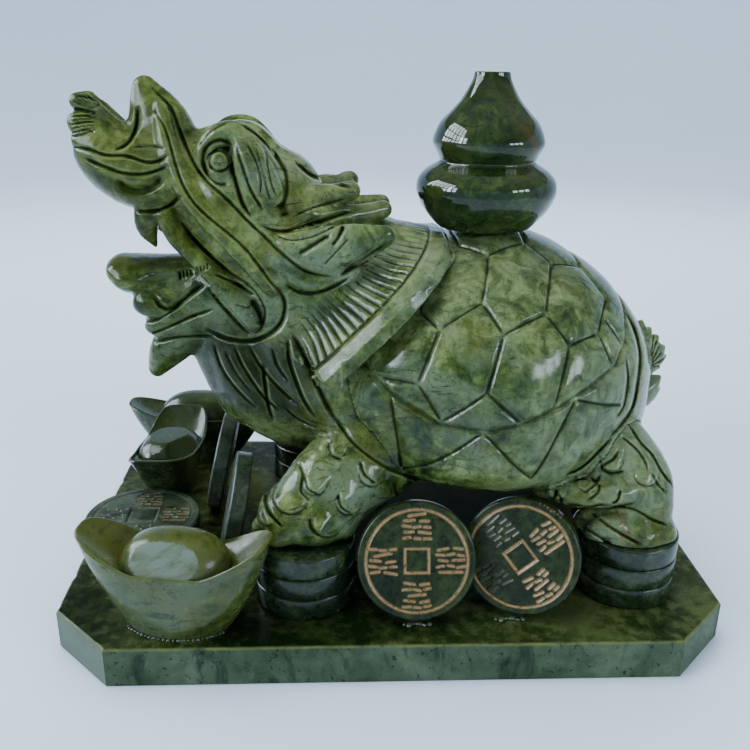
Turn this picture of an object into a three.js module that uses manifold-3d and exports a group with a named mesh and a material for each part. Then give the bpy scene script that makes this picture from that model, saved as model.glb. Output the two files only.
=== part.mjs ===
// Dragon turtle ornament of carved green jade on a chamfered plinth, with coins, ingots and a gourd.
// Millimetres, +Z up. The origin is on the middle of the plinth's underside, +X runs to the tail,
// the head looks along -X, and the near side of the figure is -Y.
import * as THREE from "three";
import { mergeVertices } from "three/addons/utils/BufferGeometryUtils.js";
import Module from "manifold-3d";

const wasm = await Module();
wasm.setup();

// Driving dimensions
const gap = 0.3; // clearance between neighbouring pieces
const plinth = { length: 300, depth: 203, height: 19, corner: 27, bevel: 1.6 };
const disc = { radius: 22.7, height: 10, bevel: 1.5, count: 3 }; // one disc of a foot's stack
const coin = { radius: 26, thick: 8, bevel: 1.2, square: 13, recess: 0.8 };
const bigCoin = { radius: 29.1, thick: 9.5, bevel: 1.2, square: 13.5, recess: 0.8 };
const gourd = {
  x: 43, foot: 21, bowl: 32.6, waist: 24.5, bulb: 26, neck: 7.7, bowlHeight: 33, bulbHeight: 35,
};
const ingotShape = { wall: 0.66, squareness: 2.9, trough: 2.5 };
const figureHeight = 195; // soles to nose tip

// The figure is drawn at this height, with its soles this far above the plinth's underside
const drawn = { height: 195, sole: 49, crown: 176 };
const shell = { x: 49, z: 108, front: 89, rear: 77, width: 76, rise: 68, drop: 49 };
const bend = { front: 1.7, rear: 1.6, side: 2.1, up: 1.8, down: 4 }; // exponents of the shell's rounding
const cut = { width: 2.8, depth: 1.6, lift: 1, step: 32 };
const rimCut = { width: 4.4, depth: 2.4, lift: 1, step: 24 };
const collar = { x: -21, z: 133, half: 60, squareness: 2.8, lean: 44.4, flutes: 30, flute: 0.03 };
const feet = { front: [-40, 62], rear: [108.5, 57.5] };

const scale = figureHeight / drawn.height;
const plinthTop = plinth.height + gap;
const stackTop = plinthTop + disc.height * disc.count;
const shellTop = stackTop + gap + (drawn.crown - drawn.sole) * scale;

const jade = new THREE.MeshStandardMaterial({ color: 0x5f7a2c, roughness: 0.18, metalness: 0 });
const darkJade = new THREE.MeshStandardMaterial({ color: 0x2a4022, roughness: 0.22, metalness: 0 });
const slabJade = new THREE.MeshStandardMaterial({ color: 0x3d5236, roughness: 0.28, metalness: 0 });

const deg = THREE.MathUtils.degToRad;
const vec = (x = 0, y = 0, z = 0) => new THREE.Vector3(x, y, z);

// A closed geometry through rings of equal count, with a fan over each end, drawn out to a tip if given
function loft(rings, tips = []) {
  const n = rings[0].length;
  const points = rings.flat();
  const faces = [];
  for (let k = 0; k + 1 < rings.length; k++) {
    for (let i = 0; i < n; i++) {
      const a = k * n + i;
      const b = k * n + ((i + 1) % n);
      faces.push(a, b, b + n, a, b + n, a + n);
    }
  }
  const [first, last] = [rings[0], rings[rings.length - 1]].map((ring, end) => {
    points.push(tips[end] ?? ring.reduce((sum, p) => sum.add(p), vec()).divideScalar(n));
    return points.length - 1;
  });
  const top = (rings.length - 1) * n;
  for (let i = 0; i < n; i++) {
    const j = (i + 1) % n;
    faces.push(first, j, i, last, top + i, top + j);
  }
  const geometry = new THREE.BufferGeometry().setFromPoints(points);
  geometry.setIndex(faces);
  return geometry;
}

// A manifold solid of a closed geometry, turned the right way out
function solid(geometry) {
  const bare = geometry.clone();
  bare.deleteAttribute("normal");
  bare.deleteAttribute("uv");
  const merged = mergeVertices(bare, 1e-4);
  const vertProperties = new Float32Array(merged.attributes.position.array);
  const triVerts = new Uint32Array(merged.index.array);
  const made = new wasm.Manifold(new wasm.Mesh({ numProp: 3, vertProperties, triVerts }));
  if (made.volume() > 0) return made;
  for (let i = 0; i < triVerts.length; i += 3) {
    [triVerts[i], triVerts[i + 1]] = [triVerts[i + 1], triVerts[i]];
  }
  return new wasm.Manifold(new wasm.Mesh({ numProp: 3, vertProperties, triVerts }));
}

function geometryOf(manifold) {
  const mesh = manifold.getMesh();
  const geometry = new THREE.BufferGeometry();
  geometry.setAttribute("position", new THREE.BufferAttribute(new Float32Array(mesh.vertProperties), 3));
  geometry.setIndex(new THREE.BufferAttribute(new Uint32Array(mesh.triVerts), 1));
  return geometry;
}

const join = (parts) => parts.reduce((whole, part) => whole.add(part));

// The body of a carved solid, without the crumbs that crossing grooves leave loose
function withoutCrumbs(carved) {
  return carved.decompose().reduce((most, part) => (part.volume() > most.volume() ? part : most));
}

function piece(name, manifold, material) {
  const geometry = geometryOf(manifold);
  geometry.computeVertexNormals();
  const mesh = new THREE.Mesh(geometry, material);
  mesh.name = name;
  return mesh;
}

function box(low, high) {
  const size = vec(...high).sub(vec(...low));
  const middle = vec(...high).add(vec(...low)).multiplyScalar(0.5);
  const block = new THREE.BoxGeometry(size.x, size.y, size.z);
  return solid(block.translate(middle.x, middle.y, middle.z));
}

// A solid turned about Z through [radius, height] pairs that start and end on the axis
function turned(profile, sides) {
  const points = profile.map(([r, z]) => new THREE.Vector2(r, z));
  return solid(new THREE.LatheGeometry(points, sides).rotateX(Math.PI / 2));
}

// A point on a superellipse, as shares of its two half widths
function superPoint(angle, power) {
  const share = (v) => Math.sign(v) * Math.abs(v) ** (2 / power);
  return [share(Math.cos(angle)), share(Math.sin(angle))];
}

// A strand: a tapering limb or lock through [x, y, z, radius] knots, pointed-ended, widened along Y
function strand(knots, flat = 1) {
  const across = vec(0, 1, 0);
  const centres = knots.map(([x, y, z]) => vec(x, y, z));
  const widest = Math.max(...knots.map(([, , , r]) => r));
  const sides = widest > 30 ? 10 : widest > 14 ? 8 : widest > 9 ? 6 : 5;
  const last = knots.length - 1;
  const tips = [];
  const rings = centres.map((centre, k) => {
    const from = centres[Math.max(k - 1, 0)];
    const to = centres[Math.min(k + 1, last)];
    const along = to.clone().sub(from).setY(0).normalize();
    const up = vec().crossVectors(along, across);
    const r = knots[k][3];
    if (k === 0) tips.push(centre.clone().addScaledVector(along, -0.8 * r));
    if (k === last) tips.push(centre.clone().addScaledVector(along, 0.8 * r));
    const ring = [];
    for (let i = 0; i < sides; i++) {
      const a = (2 * Math.PI * (i + 0.5)) / sides;
      const p = centre.clone().addScaledVector(up, r * Math.sin(a));
      ring.push(p.addScaledVector(across, r * flat * Math.cos(a)));
    }
    return ring;
  });
  return solid(loft(rings, tips));
}

// Strands on both sides of the figure; one drawn wholly on the middle plane is made once
function strands(list) {
  return list.flatMap(({ knots, flat }) => {
    const mirrored = knots.map(([x, y, z, r]) => [x, -y, z, r]);
    const central = knots.every(([, y]) => y === 0);
    return central ? [strand(knots, flat)] : [strand(knots, flat), strand(mirrored, flat)];
  });
}

// A point of the shell's surface, by x and the degrees round its long axis from the top to the near side
function onShell(x, degrees) {
  const u = x - shell.x;
  const along = u > 0 ? (u / shell.rear) ** bend.rear : (-u / shell.front) ** bend.front;
  const side = Math.abs(Math.sin(deg(degrees))) / shell.width;
  const upright = Math.cos(deg(degrees));
  const height = Math.abs(upright) / (upright > 0 ? shell.rise : shell.drop);
  let low = 0;
  let high = 2 * shell.width;
  for (let i = 0; i < 30; i++) {
    const r = (low + high) / 2;
    if (along + (side * r) ** bend.side + (height * r) ** (upright > 0 ? bend.up : bend.down) < 1) low = r;
    else high = r;
  }
  return vec(x, -low * Math.sin(deg(degrees)), shell.z + low * upright);
}

function shellBody() {
  const around = 26;
  const along = 12;
  const rings = [];
  for (let k = 0; k < along; k++) {
    const t = -Math.cos((Math.PI * (k + 0.4)) / (along - 0.2));
    const ring = [];
    for (let i = 0; i < around; i++) {
      ring.push(onShell(shell.x + (t > 0 ? shell.rear : shell.front) * t, (360 * i) / around));
    }
    rings.push(ring);
  }
  return solid(loft(rings));
}

// Corners of the carved scutes on the near half of the shell: x and degrees from the top
const corner = {
  spineFront: [28, 0], spineRear: [60, 0], a: [29, 17], b: [40, 27], c: [59, 17], d: [69, 28],
  e: [85, 20], f: [39, 34], g: [35, 49], h: [17, 58], i: [10, 50], j: [8, 78], k: [43, 61],
  l: [62, 53], m: [95, 37], n: [87, 58], o: [72, 64], p: [94, 72], q: [65, 85], r: [92, 51],
  s: [101, 62], t: [36, 80], u: [18, 91], v: [51, 90], w: [-12, 76], x: [10, 22], y: [85, 0],
};
const scuteLines = [
  "spineFront a b c d e m n o l k g h i", "spineRear c", "b f g", "h j u t k", "d l", "j w", "t v",
  "n p", "o q", "r s", "i x a", "e y",
].map((line) => line.split(" ").map((name) => corner[name]));
const rimLine = [
  [-15, 70], [-2, 84], [17, 92], [36, 93], [51, 90], [67, 85], [82, 79], [96, 71],
  [103, 58], [106, 38], [108, 0],
];
const zigzag = [[-3, 84], [3, 117], [35, 93], [58, 111], [74.5, 83], [99, 90]];

// A V groove along corners on the shell
function shellGroove(corners, { width, depth, lift, step }) {
  const spots = [];
  corners.forEach(([x, angle], k) => {
    if (k === 0) return spots.push([x, angle]);
    const [x0, angle0] = corners[k - 1];
    const count = Math.max(1, Math.round(onShell(x, angle).distanceTo(onShell(x0, angle0)) / step));
    for (let i = 1; i <= count; i++) {
      spots.push([x0 + ((x - x0) * i) / count, angle0 + ((angle - angle0) * i) / count]);
    }
  });
  const points = spots.map(([x, angle]) => onShell(x, angle));
  const rings = points.map((p, k) => {
    const next = points[Math.min(k + 1, points.length - 1)];
    const along = next.clone().sub(points[Math.max(k - 1, 0)]).normalize();
    const [x, angle] = spots[k];
    const out = vec().crossVectors(onShell(x, angle + 2).sub(p), onShell(x + 1, angle).sub(p)).normalize();
    if (out.dot(p.clone().sub(vec(shell.x, 0, shell.z))) < 0) out.negate();
    const across = vec().crossVectors(along, out).normalize();
    const mouth = p.clone().addScaledVector(out, lift);
    const half = (width / 2) * (1 + lift / depth);
    return [
      mouth.clone().addScaledVector(across, half),
      mouth.clone().addScaledVector(across, -half),
      p.clone().addScaledVector(out, -depth),
    ];
  });
  return solid(loft(rings));
}

function bothSides(corners, size) {
  const mirrored = corners.map(([x, angle]) => [x, -angle]);
  return [shellGroove(corners, size), shellGroove(mirrored, size)];
}

// The fluted collar between shell and neck, a leaning cone with radial flutes
function collarBody() {
  const normal = vec(-Math.sin(deg(collar.lean)), 0, Math.cos(deg(collar.lean)));
  const up = vec(Math.cos(deg(collar.lean)), 0, Math.sin(deg(collar.lean)));
  const rows = [[-9, 0.92, 0], [0, 1, 1], [15, 0.62, 0.6], [18, 0.5, 0]];
  const rings = rows.map(([forward, size, fluted]) => {
    const ring = [];
    for (let i = 0; i < 2 * collar.flutes; i++) {
      const [c, s] = superPoint((Math.PI * i) / collar.flutes, collar.squareness);
      const r = collar.half * size * (1 - (i % 2) * fluted * collar.flute);
      const p = vec(collar.x, 0, collar.z).addScaledVector(normal, forward);
      ring.push(p.addScaledVector(up, r * s).add(vec(0, r * c, 0)));
    }
    return ring;
  });
  return solid(loft(rings));
}

// Knots are x, y, z and radius; a strand off the middle plane is made on both sides
const neckForms = [
  { knots: [[-8, 0, 138, 42], [-38, 0, 156, 38], [-58, 0, 176, 31], [-76, 0, 192, 22]], flat: 0.95 },
  { knots: [[-18, 0, 102, 42], [-48, 0, 102, 39], [-62, 0, 122, 29], [-76, 0, 142, 20]] },
  { knots: [[-73, 17, 128, 7], [-72, 19, 106, 7], [-66, 16, 82, 5]] },
  { knots: [[-58, 29, 130, 7], [-56, 31, 108, 7], [-50, 27, 84, 5]] },
];
const headForms = [
  { knots: [[-56, 0, 190, 26], [-74, 0, 201, 21], [-90, 0, 206, 18], [-101, 0, 210, 14]], flat: 1.1 },
  { knots: [[-92, 0, 210, 19], [-101, 0, 222, 12], [-108, 0, 235, 5]] },
  { knots: [[-92, 0, 198, 17], [-112, 0, 201, 16], [-127, 0, 210, 13], [-134, 0, 219, 8]], flat: 1.25 },
  { knots: [[-118, 8, 216, 8], [-128, 9, 226, 6], [-136, 9, 229, 4]] },
  { knots: [[-128, 12, 210, 7], [-137, 12, 217, 6], [-141, 11, 223, 3]] },
  { knots: [[-84, 18, 210, 5], [-77, 20, 217, 6], [-67, 19, 219, 6.5], [-57, 16, 213, 8],
    [-48, 13, 202, 7]] },
  { knots: [[-80, 0, 210, 11], [-66, 0, 211, 12], [-51, 0, 203, 11], [-36, 0, 192, 9]], flat: 1.2 },
  { knots: [[-75, 22, 208, 7], [-73, 23, 206, 6]] },
  { knots: [[-65, 22, 213, 7], [-60, 25, 201, 9], [-56, 25, 188, 8]] },
  { knots: [[-72, 14, 190, 17], [-62, 16, 178, 17], [-46, 18, 166, 16]] },
  { knots: [[-101, 9, 229, 4], [-96, 17, 212, 5], [-91, 22, 197, 5], [-80, 27, 184, 5], [-66, 31, 170, 5],
    [-54, 33, 156, 5]] },
  { knots: [[-104, 0, 192, 9], [-94, 0, 181, 10], [-84, 0, 172, 12], [-72, 0, 164, 14]], flat: 1.7 },
  { knots: [[-101, 16, 184, 5], [-96, 19, 174, 4.5], [-86, 22, 164, 4.5], [-72, 26, 150, 5],
    [-62, 28, 138, 5]] },
  { knots: [[-108, 13, 188, 6], [-110, 13, 177, 4], [-109, 13, 170, 1.5]] },
  { knots: [[-50, 9, 200, 7], [-36, 10, 196, 6], [-19, 10, 195, 4.5]] },
  { knots: [[-52, 19, 194, 9], [-38, 20, 188, 8], [-20, 19, 189, 4.5], [-4, 10, 184, 4.5]] },
  { knots: [[-54, 29, 175, 7], [-38, 35, 172, 10], [-22, 37, 176, 10], [-9, 36, 181, 6]], flat: 0.6 },
  { knots: [[-57, 28, 178, 4], [-46, 33, 164, 5], [-34, 36, 158, 5], [-18, 38, 163, 4]] },
];
const jawForms = [
  { knots: [[-80, 0, 157, 5], [-104, 0, 157, 5.5], [-122, 0, 157, 5.5], [-130, 0, 159, 3]], flat: 2.2 },
  { knots: [[-70, 0, 146, 16], [-88, 0, 145, 12], [-103, 0, 143, 10], [-113, 0, 145, 7]], flat: 1.5 },
  { knots: [[-84, 0, 134, 13], [-99, 0, 133, 10], [-108, 0, 130, 6]], flat: 1.4 },
  { knots: [[-104, 10, 140, 7], [-113, 9, 141, 6], [-118, 8, 143, 3.5]] },
  { knots: [[-100, 9, 132, 7], [-110, 8, 135, 5], [-116, 7, 137, 3]] },
  { knots: [[-96, 0, 128, 10], [-106, 0, 116, 6.5], [-113, 0, 106, 2.5]], flat: 1.4 },
  { knots: [[-82, 13, 128, 9], [-91, 13, 120, 5], [-95, 12, 115, 2.5]] },
];
const limbForms = [
  { knots: [[-6, 44, 99, 25], [-24, 55, 88, 24], [-35, 59, 74, 21], [-38, 60, 60, 20]], flat: 0.85 },
  { knots: [[-24, 60, 56, 10], [-38, 60, 58, 12], [-50, 60, 56, 9]], flat: 1.4 },
  { knots: [[-48, 52, 57, 7], [-59, 52, 54, 5]] },
  { knots: [[-48, 62, 57, 7], [-61, 62, 54, 5]] },
  { knots: [[-46, 70, 57, 7], [-55, 70, 54, 5]] },
  { knots: [[88, 34, 92, 22], [99, 44, 83, 22], [107, 53, 69, 21], [109, 57, 58, 20]], flat: 0.9 },
  { knots: [[124, 57, 56, 9], [108, 57, 58, 12], [94, 57, 56, 9]], flat: 1.5 },
  { knots: [[98, 48, 57, 7], [88, 48, 54, 5]] },
  { knots: [[98, 58, 57, 7], [86, 58, 54, 5]] },
  { knots: [[98, 68, 57, 7], [89, 68, 54, 5]] },
];
const tailForms = [
  { knots: [[106, 0, 74, 15], [118, 0, 84, 14], [126, 0, 98, 11], [127, 0, 111, 8], [124, 0, 121, 4]] },
  { knots: [[129, 0, 84, 6], [139, 0, 79, 2]], flat: 1.6 },
  { knots: [[131, 0, 92, 6], [142, 0, 91, 2]], flat: 1.6 },
  { knots: [[132, 0, 101, 6], [143, 0, 104, 2]], flat: 1.6 },
  { knots: [[130, 0, 110, 6], [140, 0, 116, 2]], flat: 1.6 },
];

function dragonTurtle() {
  const grooves = [
    ...scuteLines.flatMap((line) => bothSides(line, cut)),
    ...bothSides(rimLine, rimCut),
    ...bothSides(zigzag, cut),
  ];
  const carved = withoutCrumbs(shellBody().subtract(join(grooves)));
  const forms = strands([...neckForms, ...headForms, ...jawForms, ...limbForms, ...tailForms]);
  const figure = join([carved, collarBody(), ...forms]);
  const below = box([-200, -150, -50], [200, 150, drawn.sole]);
  const mesh = piece("dragon_turtle", figure.subtract(below), jade);
  mesh.geometry.translate(0, 0, -drawn.sole).scale(scale, scale, scale);
  mesh.position.z = stackTop + gap;
  return mesh;
}

function plinthSlab() {
  const outline = (inset, z) => {
    const x = plinth.length / 2 - inset;
    const y = plinth.depth / 2 - inset;
    const c = plinth.corner - inset * (2 - Math.SQRT2);
    const corners = [
      [x - c, -y], [x, c - y], [x, y - c], [x - c, y], [c - x, y], [-x, y - c], [-x, c - y], [c - x, -y],
    ];
    return corners.map(([px, py]) => vec(px, py, z));
  };
  const { height, bevel } = plinth;
  const rings = [outline(0, 0), outline(0, height - bevel), outline(bevel, height)];
  return piece("plinth", solid(loft(rings)), slabJade);
}

// A foot's support, turned in one piece with a V groove between its discs
function stack(name, x, y) {
  const profile = [[0, 0]];
  for (let i = 0; i < disc.count; i++) {
    const z = i * disc.height;
    profile.push([disc.radius - disc.bevel, z], [disc.radius, z + disc.bevel]);
    profile.push([disc.radius, z + disc.height - disc.bevel]);
  }
  const top = disc.count * disc.height;
  profile.push([disc.radius - disc.bevel, top], [0, top]);
  const mesh = piece(name, turned(profile, 16), darkJade);
  mesh.position.set(x * scale, y * scale, plinthTop);
  return mesh;
}

// A coin lying on its back with a sunk square in its upper face
function coinSolid({ radius, thick, bevel, square, recess }) {
  const profile = [
    [0, 0], [radius, 0], [radius, thick - bevel], [radius - bevel, thick], [0, thick],
  ];
  const half = square / 2;
  return turned(profile, 22).subtract(box([-half, -half, thick - recess], [half, half, thick + 1]));
}

// A coin on its edge: its face looks along `faces` degrees round Z and leans back by `lean` degrees
function standingCoin(name, x, y, faces, lean, spin = 0) {
  const mesh = piece(name, coinSolid(coin), darkJade);
  mesh.geometry.rotateZ(deg(spin));
  mesh.geometry.translate(0, coin.radius, 0).rotateX(Math.PI / 2);
  mesh.geometry.translate(0, coin.thick, 0).rotateX(deg(-lean));
  mesh.geometry.rotateZ(deg(faces + 90));
  mesh.position.set(x, y, plinthTop + coin.thick * Math.sin(deg(lean)));
  return mesh;
}

// A boat-shaped ingot: rim and foot outlines, the dome inside, and the height of each wing's tip
function ingot(name, { x, y, turn, length, width, rim, tips, footLength, footWidth, flare, dome }) {
  const around = 20;
  const ring = (share, height, outline) => {
    const points = [];
    for (let i = 0; i < around; i++) {
      const [c, s] = superPoint((2 * Math.PI * i) / around, outline.power);
      const p = vec((outline.length / 2) * c, (outline.width / 2) * s).multiplyScalar(share);
      points.push(p.setZ(height(c * share)));
    }
    return points;
  };
  const foot = { length: footLength, width: footWidth, power: 2 };
  const edge = { length, width, power: ingotShape.squareness };
  const between = (low, high) => low + (high - low) * flare;
  const middle = { length: between(footLength, length), width: between(footWidth, width), power: 2.4 };
  const wing = (u) => rim + ((u > 0 ? tips[1] : tips[0]) - rim) * Math.abs(u) ** 2.1;
  const bowl = { length: length * ingotShape.wall, width: width * 0.96, power: 2.2 };
  const rings = [
    ring(1, () => 0, foot),
    ring(1, (u) => wing(u) / 2, middle),
    ring(1, wing, edge),
    ring(1, () => rim - ingotShape.trough, bowl),
    ring(0.8, () => rim + (dome - rim) * 0.62, bowl),
    ring(0.4, () => rim + (dome - rim) * 0.94, bowl),
  ];
  const mesh = piece(name, solid(loft(rings)), jade);
  mesh.rotation.z = deg(turn);
  mesh.position.set(x, y, plinthTop);
  return mesh;
}

function gourdTurning() {
  const { foot, bowl, waist, bulb, neck, bowlHeight, bulbHeight } = gourd;
  const outline = new THREE.SplineCurve([
    [foot, 0], [0.93 * bowl, 0.33 * bowlHeight], [bowl, 0.6 * bowlHeight],
    [1.16 * waist, 0.87 * bowlHeight], [waist, bowlHeight],
    [bulb, bowlHeight + 0.24 * bulbHeight], [0.86 * bulb, bowlHeight + 0.51 * bulbHeight],
    [0.48 * bulb, bowlHeight + 0.81 * bulbHeight], [neck, bowlHeight + bulbHeight],
  ].map(([r, z]) => new THREE.Vector2(r, z)));
  const profile = outline.getPoints(12).map(({ x, y }) => [x, y]);
  const mesh = piece("gourd", turned([[0, 0], ...profile, [0, bowlHeight + bulbHeight]], 18), darkJade);
  mesh.position.set(gourd.x * scale, 0, shellTop + gap);
  return mesh;
}

const model = new THREE.Group();
model.add(plinthSlab());
for (const [side, sign] of [["near", -1], ["far", 1]]) {
  for (const [end, [x, y]] of Object.entries(feet)) {
    model.add(stack(`coin_stack_${end}_${side}`, x, sign * y));
  }
}
model.add(dragonTurtle());
model.add(gourdTurning());
model.add(standingCoin("coin_front", 8.9, -90, -90, 22));
model.add(standingCoin("coin_front_tilted", 51.5, -85.5, -111, 18, 45));
model.add(standingCoin("coin_standing_a", -96, 21, 180, 12));
model.add(standingCoin("coin_standing_b", -84, -29, 184, 12));
const flat = piece("coin_flat", coinSolid(bigCoin), darkJade);
flat.position.set(-125.2, -8, plinthTop);
model.add(flat);
const ingots = {
  ingot_front: {
    x: -94.3, y: -80.6, turn: -9, length: 83.5, width: 32.6, rim: 30, tips: [43.5, 43.5],
    footLength: 47, footWidth: 30, flare: 0.62, dome: 43,
  },
  ingot_middle: {
    x: -119, y: 40.5, turn: 90, length: 62, width: 34, rim: 26, tips: [33, 37.5],
    footLength: 30, footWidth: 24, flare: 0.35, dome: 36,
  },
  ingot_back: {
    x: -109, y: 87, turn: 0, length: 84, width: 29, rim: 26, tips: [33.5, 33.5],
    footLength: 46, footWidth: 26, flare: 0.62, dome: 40,
  },
};
for (const [name, shape] of Object.entries(ingots)) model.add(ingot(name, shape));

export default model;
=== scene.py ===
"""Looks of a carved green jade dragon turtle on its plinth, with coins, ingots and a gourd.

Millimetres in the row frame until a mesh is made: +X to the tail, -Y to the near side, +Z up.
The figure is carved as a distance field on its near half, mirrored, and turned into one mesh.
"""
import math

import bpy
import numpy as np
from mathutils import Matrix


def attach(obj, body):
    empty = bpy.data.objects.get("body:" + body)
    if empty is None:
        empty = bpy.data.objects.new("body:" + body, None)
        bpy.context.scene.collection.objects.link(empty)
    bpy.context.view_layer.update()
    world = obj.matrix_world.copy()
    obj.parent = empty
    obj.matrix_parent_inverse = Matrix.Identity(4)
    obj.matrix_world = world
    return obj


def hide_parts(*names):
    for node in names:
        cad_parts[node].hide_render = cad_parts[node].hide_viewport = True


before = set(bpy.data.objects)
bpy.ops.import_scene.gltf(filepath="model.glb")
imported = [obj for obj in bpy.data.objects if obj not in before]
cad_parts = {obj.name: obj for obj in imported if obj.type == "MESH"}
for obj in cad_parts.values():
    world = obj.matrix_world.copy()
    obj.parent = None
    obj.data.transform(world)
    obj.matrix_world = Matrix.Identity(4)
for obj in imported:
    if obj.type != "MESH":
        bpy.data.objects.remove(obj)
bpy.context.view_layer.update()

import openvdb
from mathutils import Matrix, Vector

MM = 0.001

# The photograph's camera: place in mm, focal length in pixels, and its angles
CAMERA = np.array([-25.4, -394.8, 252.0])
FOCAL = 851.0
PHOTO = 750  # pixels along each side
MIDDLE = PHOTO / 2
YAW, PITCH, ROLL = (math.radians(a) for a in (2.7, 20.77, 0.9))
FORWARD = np.array([math.sin(YAW) * math.cos(PITCH), math.cos(YAW) * math.cos(PITCH), -math.sin(PITCH)])
LEVEL = np.array([math.cos(YAW), -math.sin(YAW), 0.0])
RIGHT = math.cos(ROLL) * LEVEL + math.sin(ROLL) * np.cross(LEVEL, FORWARD)
UP = np.cross(RIGHT, FORWARD)

# The figure's drawing stands this much below the row frame
DRAWN_LIFT = 0.6
SOLE = 49.0  # height of the soles in the drawing
FINE = 0.6  # edge of one cell of the carving field
CAP = 20.0  # longest distance that the field holds
LIMIT = 190000  # triangles of the figure


# Carving field

class Field:
    """Signed distance on the near half of a box, as cells of FINE mm; y runs from the middle outwards."""

    def __init__(self, low, high):
        self.low = np.array([low[0], 0.0, low[2]])
        self.count = [int(math.ceil((high[i] - self.low[i]) / FINE)) for i in range(3)]
        self.d = np.full(self.count, CAP, np.float32)

    def window(self, low, high):
        a = [max(0, int((low[i] - self.low[i]) / FINE)) for i in range(3)]
        b = [min(self.count[i], int((high[i] - self.low[i]) / FINE) + 2) for i in range(3)]
        return tuple(slice(x, max(x, y)) for x, y in zip(a, b))

    def axes(self, part):
        lines = [self.low[i] + (np.arange(part[i].start, part[i].stop) + 0.5) * FINE for i in range(3)]
        x, y, z = (v.astype(np.float32) for v in lines)
        return x[:, None, None], y[None, :, None], z[None, None, :]


def smooth_min(a, b, k):
    """Joins two distances with a fillet of about k."""
    h = np.maximum(k - np.abs(a - b), 0) / k
    return np.minimum(a, b) - h * h * k * 0.25


def curve(knots, per=5):
    """Points of a smooth curve through the knots."""
    k = np.array(knots, float)
    if len(k) < 3:
        return k
    ends = np.vstack([2 * k[0] - k[1], k, 2 * k[-1] - k[-2]])
    out = []
    for i in range(1, len(ends) - 2):
        p0, p1, p2, p3 = ends[i - 1:i + 3]
        for t in np.arange(per) / per:
            out.append(0.5 * (2 * p1 + (p2 - p0) * t + (2 * p0 - 5 * p1 + 4 * p2 - p3) * t * t
                              + (3 * p1 - p0 - 3 * p2 + p3) * t ** 3))
    out.append(k[-1])
    return np.array(out)


def add(field, knots, flat=1.0, k=5.0):
    """Joins a rounded strand through (x, y, z, radius) knots, widened along Y by flat, on both sides."""
    points = curve(knots)
    points[:, 3] = np.maximum(points[:, 3], 0.6)
    sides = [1.0] if np.allclose(points[:, 1], 0) else [1.0, -1.0]
    for side in sides:
        pts = points * [1, side, 1, 1]
        reach = pts[:, 3:] * [1, max(flat, 1), 1] + k + 3
        part = field.window((pts[:, :3] - reach).min(0), (pts[:, :3] + reach).max(0))
        if min(s.stop - s.start for s in part) < 1:
            continue
        x, y, z = field.axes(part)
        best = None
        for a, b in zip(pts[:-1], pts[1:]):
            ax, ay, az, ar = a[0], a[1] / flat, a[2], a[3]
            bx, by, bz = b[0] - ax, b[1] / flat - ay, b[2] - az
            length2 = max(bx * bx + by * by + bz * bz, 1e-6)
            px, py, pz = x - ax, y / flat - ay, z - az
            t = np.clip((px * bx + py * by + pz * bz) / length2, 0, 1)
            gap = np.sqrt((px - t * bx) ** 2 + (py - t * by) ** 2 + (pz - t * bz) ** 2)
            d = gap - (ar + t * (b[3] - ar))
            best = d if best is None else np.minimum(best, d)
        field.d[part] = smooth_min(field.d[part], best.astype(np.float32), k)


def at_pixel(across, down):
    """The point of the figure's middle plane under a pixel of the photograph."""
    ray = FORWARD + RIGHT * (across - MIDDLE) / FOCAL - UP * (down - MIDDLE) / FOCAL
    return CAMERA - ray * CAMERA[1] / ray[1] - [0, 0, DRAWN_LIFT]


# The figure's big forms in mm: shell and collar stand as in its solid, and then strands of
# (widening along Y, fillet, knots of x, y, z and radius)

SHELL = dict(x=49.0, z=108.0, front=89.0, rear=77.0, width=76.0, rise=68.0, drop=49.0)
BEND = dict(front=1.7, rear=1.6, side=2.1, up=1.8, down=4.0)
COLLAR = dict(x=-21.0, z=133.0, half=60.0, length=18, squareness=2.8, lean=44.4, flutes=38, end=-17.0)


def shell_field(x, y, z):
    u = x - SHELL["x"]
    w = z - SHELL["z"]
    behind = np.abs(u / SHELL["rear"]) ** BEND["rear"]
    ahead = np.abs(u / SHELL["front"]) ** BEND["front"]
    above = np.abs(w / SHELL["rise"]) ** BEND["up"]
    below = np.abs(w / SHELL["drop"]) ** BEND["down"]
    along = np.where(u > 0, behind, ahead)
    side = np.abs(y / SHELL["width"]) ** BEND["side"]
    tall = np.where(w > 0, above, below)
    f = along + side + tall
    gx = np.where(u > 0, BEND["rear"] * along, BEND["front"] * along) / np.maximum(np.abs(u), 1)
    gy = BEND["side"] * side / np.maximum(np.abs(y), 1)
    gz = np.where(w > 0, BEND["up"] * tall, BEND["down"] * tall) / np.maximum(np.abs(w), 1)
    slope = np.sqrt(gx * gx + gy * gy + gz * gz)
    return np.clip((f - 1) / np.maximum(slope, 0.006), -CAP, CAP)


def on_shell(x, degrees):
    """A point of the shell by x and the degrees round its long axis from the top to the near side."""
    a = math.radians(degrees)
    u = x - SHELL["x"]
    along = (u / SHELL["rear"]) ** BEND["rear"] if u > 0 else (-u / SHELL["front"]) ** BEND["front"]
    side = abs(math.sin(a)) / SHELL["width"]
    upright = math.cos(a)
    tall, power = (SHELL["rise"], BEND["up"]) if upright > 0 else (SHELL["drop"], BEND["down"])
    low, high = 0.0, 2 * SHELL["width"]
    for _ in range(30):
        r = (low + high) / 2
        if along + (side * r) ** BEND["side"] + (abs(upright) / tall * r) ** power < 1:
            low = r
        else:
            high = r
    return [x, abs(low * math.sin(a)), SHELL["z"] + low * upright]


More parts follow.
